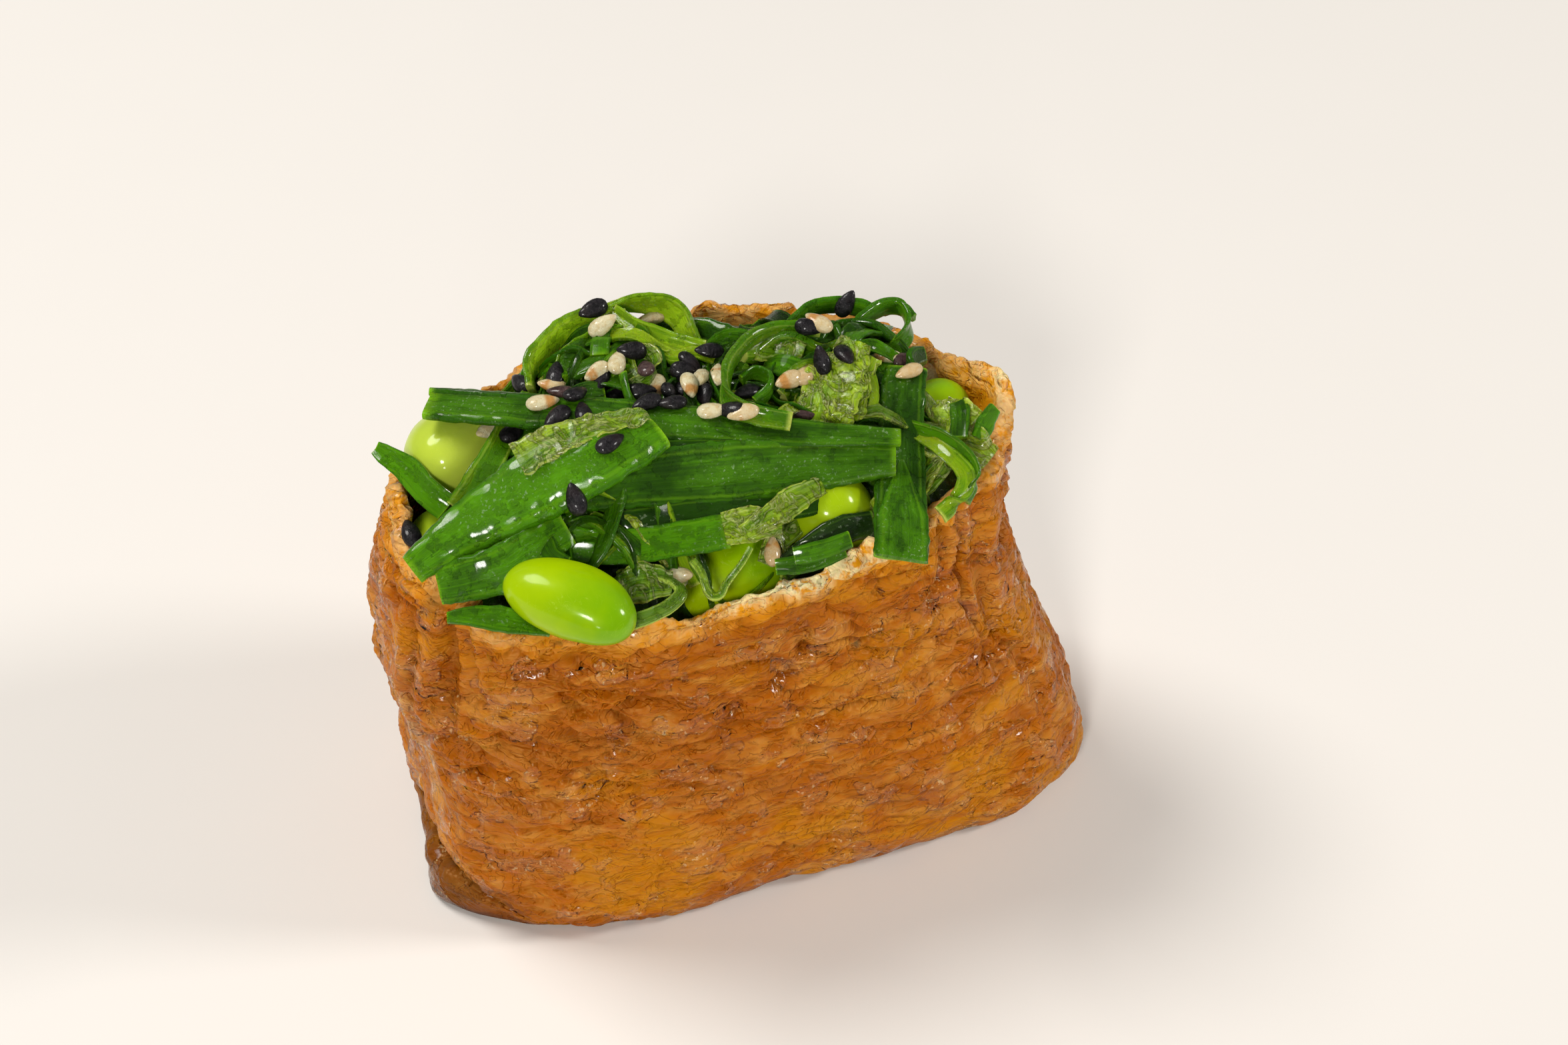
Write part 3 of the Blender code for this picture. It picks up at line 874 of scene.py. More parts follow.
@dataclass
class PouchSkin:
    """The fried tofu: a bag whose skin lies in fine level folds above and in soft lumps below."""

    shape: PouchShape
    around: int = 520
    flap_rows: int = 8
    foot_rows: int = 8
    wall_rows: int = 128
    inside_rows: int = 20
    lump: float = 0.5
    fold: float = 0.62
    fine_fold: float = 0.66
    thread: float = 0.3
    crinkle: float = 0.16
    sag: float = 0.45
    lip: float = 0.35
    foot_band: float = 3.0
    turn: np.ndarray = field(init=False)
    rim: np.ndarray = field(init=False)

    def __post_init__(self) -> None:
        """Finds the directions of the columns and the torn rim's height in each."""
        self.turn = self.shape.directions(self.around)
        level = self.shape.outside(self.turn, 40.0)
        torn = 0.5 * noise_at(level, (0.22, 0.22, 0.0), 1.0) + 0.45 * noise_at(level, (0.6, 0.6, 0.0), 2.0)
        self.rim = self.shape.rim_height(self.turn) + torn + 0.28 * noise_at(level, (1.5, 1.5, 0.0), 3.0)

    def rows(self) -> tuple[np.ndarray, np.ndarray, np.ndarray]:
        """Rings of points from under the foot, up the outside, over the lip, down the inside and onto the floor.

        Returns:
            The points, how strongly each ring is wrinkled, and 1 for rings of the inside.
        """
        shape, turn, rim = self.shape, self.turn, self.rim
        crease = shape.crease_height(turn)
        foot = shape.outside(turn, crease * 0.0, True)
        middle = np.array((shape.wall_middle(0.0), 0.0, 0.0))
        rings = [(mix(middle, foot, share), 0.0, 0.0) for share in (0.3, 0.6, 0.85, 0.95)]
        for share in np.linspace(0.0, 0.999, self.flap_rows):
            rings.append((shape.outside(turn, crease * share, True), 0.3 + 0.4 * share, 0.0))
        for more in np.linspace(0.0, self.foot_band, self.foot_rows, endpoint=False):
            rings.append((shape.outside(turn, crease + more), 0.7 + 0.1 * more, 0.0))
        for share in np.linspace(0.0, 1.0, self.wall_rows):
            rings.append((shape.outside(turn, mix(crease + self.foot_band, rim - self.lip, share)), 1.0, 0.0))
        for step in (0.25, 0.5, 0.75):
            inset = shape.rim_wall * step
            height = rim - self.lip + 0.4 * math.sin(math.pi * step)
            rings.append((shape.inside(turn, height, inset), 0.7, step))
        for share in np.linspace(1.0, 0.0, self.inside_rows) ** 1.15:
            inset = mix(shape.wall, shape.rim_wall, share**6)
            rings.append((shape.inside(turn, mix(shape.floor + 1.2, rim - 0.4, share), inset), 0.4, 1.0))
        for inset, height in ((shape.wall + 1.6, 0.5), (shape.wall + 4.0, 0.0), (shape.wall + 10.0, 0.0)):
            rings.append((shape.inside(turn, shape.floor + height, inset), 0.0, 1.0))
        return tuple(np.array([ring[i] for ring in rings]) for i in range(3))

    def wrinkled(self, points: np.ndarray, turn: np.ndarray) -> tuple[np.ndarray, np.ndarray, np.ndarray]:
        """How far the skin stands out at each point.

        Args:
            points: The plain skin's points.
            turn: The direction of each.

        Returns:
            The push outwards in millimetres, the strength of creases, and the fullness between them, both 0 to 1.
        """
        height = points[..., 2]
        bent = points.copy()
        bent[..., 2] += 1.7 * noise_at(points, (0.07, 0.07, 0.06), 4.0) + 0.6 * noise_at(points, (0.24, 0.24, 0.2), 5.0)
        coarse = noise_at(bent, (0.085, 0.085, 0.33), 6.0)
        fine = noise_at(bent, (0.19, 0.19, 0.74), 7.0)
        thread = noise_at(bent, (0.42, 0.42, 1.45), 17.0)
        crinkle = noise_at(bent, (1.0, 1.0, 2.1), 8.0)
        soft = noise_at(points, (0.13, 0.13, 0.12), 9.0)
        lumps = noise_at(points, (0.34, 0.34, 0.32), 10.0)
        uneven = np.clip(0.75 + 1.1 * noise_at(points, (0.1, 0.1, 0.14), 11.0), 0.2, 1.0)
        high = ease(height, 10.0, 26.0)
        upper = mix(0.38, 1.0, high) * uneven

        full, full_fine = plateau(coarse, 0.3), plateau(fine, 0.26)
        line, line_fine = hump(coarse, 0.055), hump(fine, 0.07)
        push = self.lump * (1.1 * soft + 0.75 * lumps * mix(1.2, 0.7, high))
        push += upper * (self.fold * (full**0.7 - 0.6) - 0.3 * line)
        push += upper * self.fine_fold * (full_fine**0.7 - 0.6 - 0.4 * line_fine)
        threads = self.thread * (plateau(thread, 0.3) - 0.5)
        push += mix(0.5, 1.0, upper) * (threads + self.crinkle * crinkle)
        crease = np.maximum(np.maximum(line, line_fine * 0.75), hump(thread, 0.06) * 0.5) * upper
        for pleat in PLEATS:
            sway = 2.6 * noise_at(points, (0.0, 0.0, 0.16), pleat.direction)
            aside = turn_between(turn + sway, pleat.direction)
            reach = hump(height - pleat.height, pleat.half_height)
            cut = hump(aside, pleat.half_width) * reach
            push -= pleat.strength * cut * 0.8
            push += pleat.strength * 0.5 * hump(np.abs(aside) - 2.2 * pleat.half_width, pleat.half_width) * reach
            crease = np.maximum(crease, cut * pleat.strength)
        return push, crease, full * full_fine

    def masks(self, points: np.ndarray, turn: np.ndarray, inside: np.ndarray) -> dict[str, np.ndarray]:
        """Where the skin is torn and pale, where glow is painted near the rim and inside, where shade is painted under
        the folded corner, along the foot and on the upper front, and where it is marked.
        """
        height = points[..., 2]
        drop = self.rim[None, :] - height
        ragged = drop + 0.9 * noise_at(points, 0.5, 12.0) + 0.4 * noise_at(points, 1.6, 13.0)
        lip = 1.0 - ease(ragged, 0.3, 2.0)
        front = np.maximum(beside(turn, -78.0, 30.0), 0.75 * beside(turn, -4.0, 6.0))
        rest = 0.2 + 0.5 * noise_at(points, 0.12, 14.0)
        pale = lip * np.clip(np.maximum(front, rest), 0.0, 1.0)
        glow = (1.0 - ease(ragged, 1.0, 3.6)) * mix(0.6, 1.0, front)
        ear = beside(turn, 4.0, 40.0) * ease(height, 26.0, 34.0)
        glow = np.maximum(glow, inside * np.maximum(0.6, ear) * ease(height, 22.0, 34.0))
        # Painted light: the upper inner wall at the left end is paler, standing in for light through the skin.
        painted_glow_left = beside(turn, 175.0, 26.0) * ease(height, 30.0, 37.0) * 0.4
        pale = np.maximum(pale, inside * np.maximum(painted_glow_left, lip * 0.3))
        seam = SEAM.strength * SEAM.at(turn, height)
        pale = np.maximum(pale, seam * (0.6 + 0.6 * noise_at(points, (0.5, 0.5, 0.2), 15.0)))
        # Painted shadow: the folded corner, which the body overhangs, and a thin band along the foot are darkened.
        flap = self.shape.flap_share(turn) * (1.0 - ease(height, 3.6, 6.2))
        # Painted shade on the upper front wall, which the lamps light less.
        front_shade = 0.75 * hump(height - 31.0, 11.0) * beside(turn, -95.0, 70.0) * (1.0 - inside)
        deep = np.clip(flap * 0.75 + hump(height, 0.9) * 0.5, 0.0, 1.0) * (1.0 - inside)
        mark = np.zeros_like(height)
        for speck in SPECKS:
            mark = np.maximum(mark, speck.strength * speck.at(turn, height))
        masks = {"pale": np.clip(pale, 0, 1), "glow": np.clip(glow, 0, 1), "deep": deep, "front_shade": front_shade}
        return masks | {"mark": mark * (1 - inside)}

    def build(self, material: bpy.types.Material) -> bpy.types.Object:
        """Makes the wrinkled skin."""
        points, weight, inside = self.rows()
        turn = np.broadcast_to(self.turn, points.shape[:2])
        inside = np.broadcast_to(inside[:, None], points.shape[:2])
        around = np.roll(points, -1, axis=1) - np.roll(points, 1, axis=1)
        normal = unit(np.cross(around, np.gradient(points, axis=0)))
        push, crease, full = self.wrinkled(points, turn)
        push = push * weight[:, None]
        near_lip = hump(points[..., 2] - self.rim[None, :], 1.4)
        push += near_lip * 0.28 * noise_at(points, 1.3, 16.0)
        marks = self.masks(points, turn, inside)
        points = points + normal * push[..., None]
        outer = (1.0 - inside) * weight[:, None] * ease(points[..., 2], 3.0, 9.0)
        higher = mix(0.4, 1.0, ease(points[..., 2], 12.0, 26.0))
        points[..., 2] -= self.sag * (full - 0.5) * outer * higher
        points[..., 2] = np.maximum(points[..., 2], 0.0)
        # fold carries the crease strength, which the material paints as shade in the creases; puff carries the fullness
        # between them.
        marks["fold"], marks["puff"] = crease * (1 - inside * 0.6), full * (1 - inside * 0.5)

        corners = with_ends(points)
        values = {name: np.concatenate((value.ravel(), (0.0, 0.0))) for name, value in marks.items()}
        faces = ring_faces(len(points), self.around)
        piece = make_piece("tofu_pouch", corners, faces, values, material)
        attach(piece, BODY)
        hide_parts("pouch")
        return piece


# ------------------------------------------------------------------------------------------------ the salad


@dataclass(frozen=True)
class Mound:
    """A high place of the heap, or with a negative gain a hollow."""

    x: float
    y: float
    gain: float
    radius: float


MOUNDS = (
    Mound(-9.0, 9.0, 3.4, 6.5),
    Mound(15.0, 4.0, 2.6, 6.0),
    Mound(-14.0, -4.0, 0.6, 7.0),
    Mound(3.0, -4.0, 0.8, 7.0),
    Mound(5.0, -13.0, -3.0, 5.5),
    Mound(-6.0, -14.0, -2.0, 5.0),
    Mound(-24.0, 6.0, -2.0, 5.0),
    Mound(20.0, -1.0, -1.5, 4.0),
    Mound(-28.5, -1.0, -2.5, 4.5),
)


@dataclass
class Heap:
    """The heap of salad, whose dark packed middle lies below the loose strips; its near-black green is partly painted
    shade for the depths between the strips.
    """

    shape: PouchShape
    crown: float = 45.0
    steepness: float = 2.6
    edge_drop: float = 2.2
    sunk: float = 2.3
    gap: float = 0.9
    around: int = 120

    def top(self, x: Any, y: Any) -> Any:
        """Height of the heap's outside at a place."""
        x, y = np.asarray(x, float), np.asarray(y, float)
        middle = self.shape.wall_middle(MOUTH_LEVEL)
        turn = np.degrees(np.arctan2(y, x - middle))
        edge = self.shape.rim_height(turn) - self.edge_drop
        share = np.hypot(x - middle, y) / self.shape.wall_reach(turn, MOUTH_LEVEL, self.shape.wall)
        height = mix(self.crown, edge, np.clip(share, 0.0, 1.0) ** self.steepness)
        for mound in MOUNDS:
            height = height + mound.gain * hump(np.hypot(x - mound.x, y - mound.y), mound.radius)
        return height

    def build(self, material: bpy.types.Material) -> bpy.types.Object:
        """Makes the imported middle, which stands for the heap's solid and fills the pouch under the strips."""
        turn = np.arange(self.around) * 360.0 / self.around
        inset = self.shape.wall + self.gap
        floor = self.shape.floor + self.gap
        rings = [self.shape.inside(turn, floor, inset + 4.0), self.shape.inside(turn, floor + 1.5, inset + 1.0)]
        for share in (0.2, 0.4, 0.6, 0.8, 0.9):
            rings.append(self.shape.inside(turn, share * (self.shape.rim_height(turn) - self.edge_drop), inset))
        edge = self.shape.inside(turn, MOUTH_LEVEL, inset)
        middle = np.array((self.shape.wall_middle(MOUTH_LEVEL), 0.0, 0.0))
        for share in np.linspace(1.0, 0.05, 34):
            ring = mix(middle, edge, share)
            ring[:, 2] = self.top(ring[:, 0], ring[:, 1]) - self.sunk * mix(1.0, 0.9, share)
            ring[:, 2] += 1.1 * noise_at(ring, (0.3, 0.3, 0.0), 20.0)
            ring[:, 2] += 0.5 * noise_at(ring, (0.9, 0.9, 0.0), 21.0)
            rings.append(ring)
        points = np.array(rings)
        corners = with_ends(points)
        flat = np.zeros(len(corners))
        # tone 0.1 keeps the packed middle near the darkest green, which also paints the shade deep between the strips.
        marks = {"across": flat, "along": flat + 0.5, "reach": corners[:, 0], "tone": flat + 0.1}
        marks |= {"shift": flat, "blunt": flat}
        piece = make_piece("packed_salad", corners, ring_faces(len(points), self.around), marks, material)
        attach(piece, BODY)
        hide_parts("salad")
        return piece


# --------------------------------------------------------------------------------- geometry node machinery


class Growth(Tree):
    """A Geometry Nodes tree with named inputs, which turns a simple mesh into a finished one."""

    SHARP_ANGLE = 62.0

    def __init__(self, name: str, inputs: dict[str, tuple[str, Any]]) -> None:
        """Makes the tree.

        Args:
            name: The tree's name.
            inputs: Each input's socket type and first value, by name.
        """
        group = bpy.data.node_groups.new(name, "GeometryNodeTree")
        super().__init__(group)
        face = group.interface
        face.new_socket("Geometry", in_out="INPUT", socket_type="NodeSocketGeometry")
        face.new_socket("Geometry", in_out="OUTPUT", socket_type="NodeSocketGeometry")
        self.identifiers: dict[str, str] = {}
        for title, (kind, value) in inputs.items():
            socket = face.new_socket(title, in_out="INPUT", socket_type=kind)
            if value is not None:
                socket.default_value = value
            self.identifiers[title] = socket.identifier
        self.entry = group.nodes.new("NodeGroupInput")
        self.exit = group.nodes.new("NodeGroupOutput")

    def given(self, title: str) -> Wire:
        """The wire of a named input."""
        return Wire(self, self.entry.outputs[title])

    def named(self, name: str, kind: str = "FLOAT") -> Wire:
        """A named attribute of the geometry."""
        return self.node("GeometryNodeInputNamedAttribute", {"data_type": kind}, {"Name": name})

    def store(self, geometry: Wire, name: str, value: Wire) -> Wire:
        """Keeps a value at each point under a name."""
        settings = {"data_type": "FLOAT", "domain": "POINT"}
        values = {"Geometry": geometry, "Name": name, "Value": value}
        return self.node("GeometryNodeStoreNamedAttribute", settings, values)

    def close(self, geometry: Wire) -> None:
        """Ends the tree in real geometry with its material."""
        real = self.node("GeometryNodeRealizeInstances", values={"Geometry": geometry})
        values = {"Geometry": real, "Material": self.given("Material")}
        dressed = self.node("GeometryNodeSetMaterial", values=values)
        self.tree.links.new(dressed.socket, self.exit.inputs[0])

    def grow(self, name: str, source: bpy.types.Mesh, values: dict[str, Any]) -> bpy.types.Object:
        """Runs the tree on a mesh and keeps the result as a plain mesh.

        Args:
            name: The new piece's name.
            source: The mesh that the tree starts from.
            values: What the tree's inputs are given, by name.

        Returns:
            The finished object, already in the scene.
        """
        piece = placed(name, source)
        modifier = piece.modifiers.new("growth", "NODES")
        modifier.node_group = self.tree
        for title, value in values.items():
            modifier[self.identifiers[title]] = value
        graph = bpy.context.evaluated_depsgraph_get()
        grown = piece.evaluated_get(graph)
        made = bpy.data.meshes.new_from_object(grown, preserve_all_data_layers=True, depsgraph=graph)
        piece.modifiers.remove(modifier)
        piece.data = made
        made.name = name
        bpy.data.meshes.remove(source)
        made.shade_smooth()
        made.set_sharp_from_angle(angle=math.radians(self.SHARP_ANGLE))
        return piece


# ------------------------------------------------------------------------------------------ seaweed strips


class Weed(Enum):
    """The kinds of seaweed strip."""

    DARK = "dark"
    GREEN = "green"
    BRIGHT = "bright"
    CLEAR = "clear"
    PALE = "pale"


WEED_FINISHES = {
    Weed.DARK: SeaweedFinish(
        "seaweed_dark_wet", (0.006, 0.028, 0.0), (0.046, 0.145, 0.001), (0.008, 0.035, 0.001), (0.12, 0.27, 0.01), 0.24
    ),
    Weed.GREEN: SeaweedFinish(
        "seaweed_green_wet", (0.016, 0.070, 0.0), (0.100, 0.330, 0.0), (0.03, 0.13, 0.0), (0.2, 0.46, 0.005), 0.28
    ),
    Weed.BRIGHT: SeaweedFinish(
        "seaweed_bright_wet", (0.075, 0.24, 0.0), (0.42, 0.67, 0.01), (0.05, 0.16, 0.0), (0.62, 0.76, 0.12), 0.24
    ),
    # The clear film's last value, 0.4, is how strongly painted glint lines are laid along its crumples.
    Weed.CLEAR: SeaweedFinish(
        "seaweed_clear_wet", (0.12, 0.29, 0.001), (0.50, 0.74, 0.02), (0.7, 0.88, 0.12), (0.92, 1.0, 0.42), 0.1,
        0.1, 1.0, 0.5, 0.5, 0.4,
    ),
    Weed.PALE: SeaweedFinish(
        "seaweed_pale_wet", (0.10, 0.22, 0.004), (0.42, 0.62, 0.03), (0.6, 0.78, 0.12), (0.7, 0.8, 0.2), 0.14,
        0.1, 0.3, 0.8, 0.4,
    ),
}


@dataclass(frozen=True)
class Strip:
    """A strip of seaweed.

    Its width lies along across, one way for the whole route or one for its start and one for its end. Where that
    is left out it lies level, turned about the route by roll degrees at start and end.
    """

    route: tuple[Triple, ...]
    widths: Triple
    across: tuple[Triple, ...] = ()
    roll: tuple[float, float] = (0.0, 0.0)
    thick: float = 1.0
    cup: float = 0.0
    tone: float = 0.5
    ruffle: float = 0.25
    blunt: float = 1.0

    def line(self, step: float) -> np.ndarray:
        """Points along the route, about one step apart."""
        rough = smooth_line(self.route, 24)
        length = float(np.linalg.norm(np.diff(rough, axis=0), axis=1).sum())
        return smooth_line(self.route, max(8, round(length / step)))

    def frames(self, line: np.ndarray) -> tuple[np.ndarray, np.ndarray]:
        """The way across the strip and the way it faces, at each point of its line."""
        tangent = unit(np.gradient(line, axis=0))
        share = np.linspace(0.0, 1.0, len(line))[:, None]
        if self.across:
            across = mix(np.array(self.across[0]), np.array(self.across[-1]), share)
        else:
            side = unit(np.cross(tangent, np.array((0.0, 0.0, 1.0))))
            up = np.cross(side, tangent)
            roll = np.radians(mix(self.roll[0], self.roll[1], share))
            across = side * np.cos(roll) + up * np.sin(roll)
        across = unit(across - tangent * (across * tangent).sum(axis=1, keepdims=True))
        facing = np.cross(tangent, across)
        if facing[:, 2].mean() < 0.0:
            across, facing = -across, -facing
        return across, facing

    def width(self, share: np.ndarray) -> np.ndarray:
        """Width at each share of the length."""
        return np.interp(share, (0.0, 0.5, 1.0), self.widths)


@dataclass
class StripMaker:
    """Sweeps a flat section with rounded edges along the routes of strips."""

    tree: Growth = field(init=False)

    def __post_init__(self) -> None:
        """Builds the tree."""
        inputs = {
            "Section Points": ("NodeSocketInt", 14),
            "Ruffle Scale": ("NodeSocketFloat", RUFFLES),
            "Material": ("NodeSocketMaterial", None),
        }
        tree = Growth("strip_growth", inputs)
        curve = tree.node("GeometryNodeMeshToCurve", values={0: Wire(tree, tree.entry.outputs[0])})
        ring = {"Resolution": tree.given("Section Points"), "Radius": 1.0}
        circle = tree.node("GeometryNodeCurvePrimitiveCircle", values=ring)
        x, y, _ = tree.parts(tree.node("GeometryNodeInputPosition"))
        section = tree.store(circle, "across", x.signed_power(0.6))
        section = tree.store(section, "side", y.signed_power(0.55))
        nowhere = tree.vector(0.0, 0.0, 0.0)
        section = tree.node("GeometryNodeSetPosition", values={"Geometry": section, "Position": nowhere})
        values = {"Curve": curve, "Profile Curve": section, "Fill Caps": True}
        swept = tree.node("GeometryNodeCurveToMesh", values=values)

        across, side = tree.named("across"), tree.named("side")
        half_width, half_thick, cup = tree.named("half_width"), tree.named("half_thick"), tree.named("cup")
        place = tree.node("GeometryNodeInputPosition")
        away = tree.arrows("SCALE", tree.vector(1.0, 0.37, 0.61), tree.named("shift"))
        beside = tree.arrows("SCALE", tree.named("side_way", "FLOAT_VECTOR"), across * half_width)
        here = tree.arrows("ADD", tree.arrows("ADD", place, beside), away)
        wave = tree.grain(here, tree.given("Ruffle Scale"), 2.0, 0.5) - 0.5
        nibble = tree.grain(here, tree.given("Ruffle Scale") * 3.0, 1.0, 0.5) - 0.5
        edge = across.size()
        lift = side * half_thick + cup * across * across * half_width
        lift = lift + wave * tree.named("ruffle") * (edge * 1.6 + 0.4)
        reach = across * half_width * (nibble * 0.22 * edge + 1.0)
        outward = tree.arrows("SCALE", tree.named("side_way", "FLOAT_VECTOR"), reach)
        upward = tree.arrows("SCALE", tree.named("facing", "FLOAT_VECTOR"), lift)
        offset = tree.arrows("ADD", outward, upward)
        tree.close(tree.node("GeometryNodeSetPosition", values={"Geometry": swept, "Offset": offset}))
        self.tree = tree

    def sweep(
        self,
        name: str,
        strips: Sequence[Strip],
        kind: Weed,
        section: int = 14,
        step: float = 0.45,
        scale: float = RUFFLES,
    ) -> bpy.types.Object:
        """Makes strips as one piece.

        Args:
            name: The piece's name.
            strips: The strips in it.
            kind: Their finish.
            section: How many points go round a strip.
            step: The distance between its rings in millimetres.
            scale: How many waves of ruffle there are to a metre.

        Returns:
            The piece.
        """
        corners: list[np.ndarray] = []
        edges: list[tuple[int, int]] = []
        marks: dict[str, list[np.ndarray]] = {}
        first = 0
        for number, strip in enumerate(strips):
            line = strip.line(step)
            across, facing = strip.frames(line)
            share = np.linspace(0.0, 1.0, len(line))
            length = np.linalg.norm(np.diff(line, axis=0), axis=1).sum()
            shift = (len(name) * 3.17 + number * 1.93 + abs(strip.route[0][0])) % 41.0
            steady = share * 0.0 + 1.0
            for mark, value in (
                ("side_way", across),
                ("facing", facing),
                ("half_width", strip.width(share) / 2 * MM),
                ("half_thick", steady * strip.thick / 2 * MM),
                ("cup", steady * strip.cup),
                ("ruffle", steady * strip.ruffle * MM),
                ("along", share),
                ("reach", share * length),
                ("tone", steady * strip.tone),
                ("shift", steady * shift),
                ("blunt", steady * strip.blunt),
            ):
                marks.setdefault(mark, []).append(value)
            corners.append(line)
            edges += [(first + i, first + i + 1) for i in range(len(line) - 1)]
            first += len(line)
        mesh = bpy.data.meshes.new(name + "_routes")
        mesh.from_pydata(metres(np.vstack(corners)).tolist(), edges, [])
        for mark, values in marks.items():
            joined = np.concatenate(values).astype(np.float32)
            kind_of, place = ("FLOAT_VECTOR", "vector") if joined.ndim == 2 else ("FLOAT", "value")
            mesh.attributes.new(mark, kind_of, "POINT").data.foreach_set(place, joined.ravel())
        given = {"Section Points": section, "Ruffle Scale": scale, "Material": weed_material(kind)}
        piece = self.tree.grow(name, mesh, given)
        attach(piece, BODY)
        return piece


MADE_MATERIALS: dict[Weed, bpy.types.Material] = {}


def weed_material(kind: Weed) -> bpy.types.Material:
    """The material of a kind of seaweed, made once."""
    if kind not in MADE_MATERIALS:
        MADE_MATERIALS[kind] = WEED_FINISHES[kind].material()
    return MADE_MATERIALS[kind]


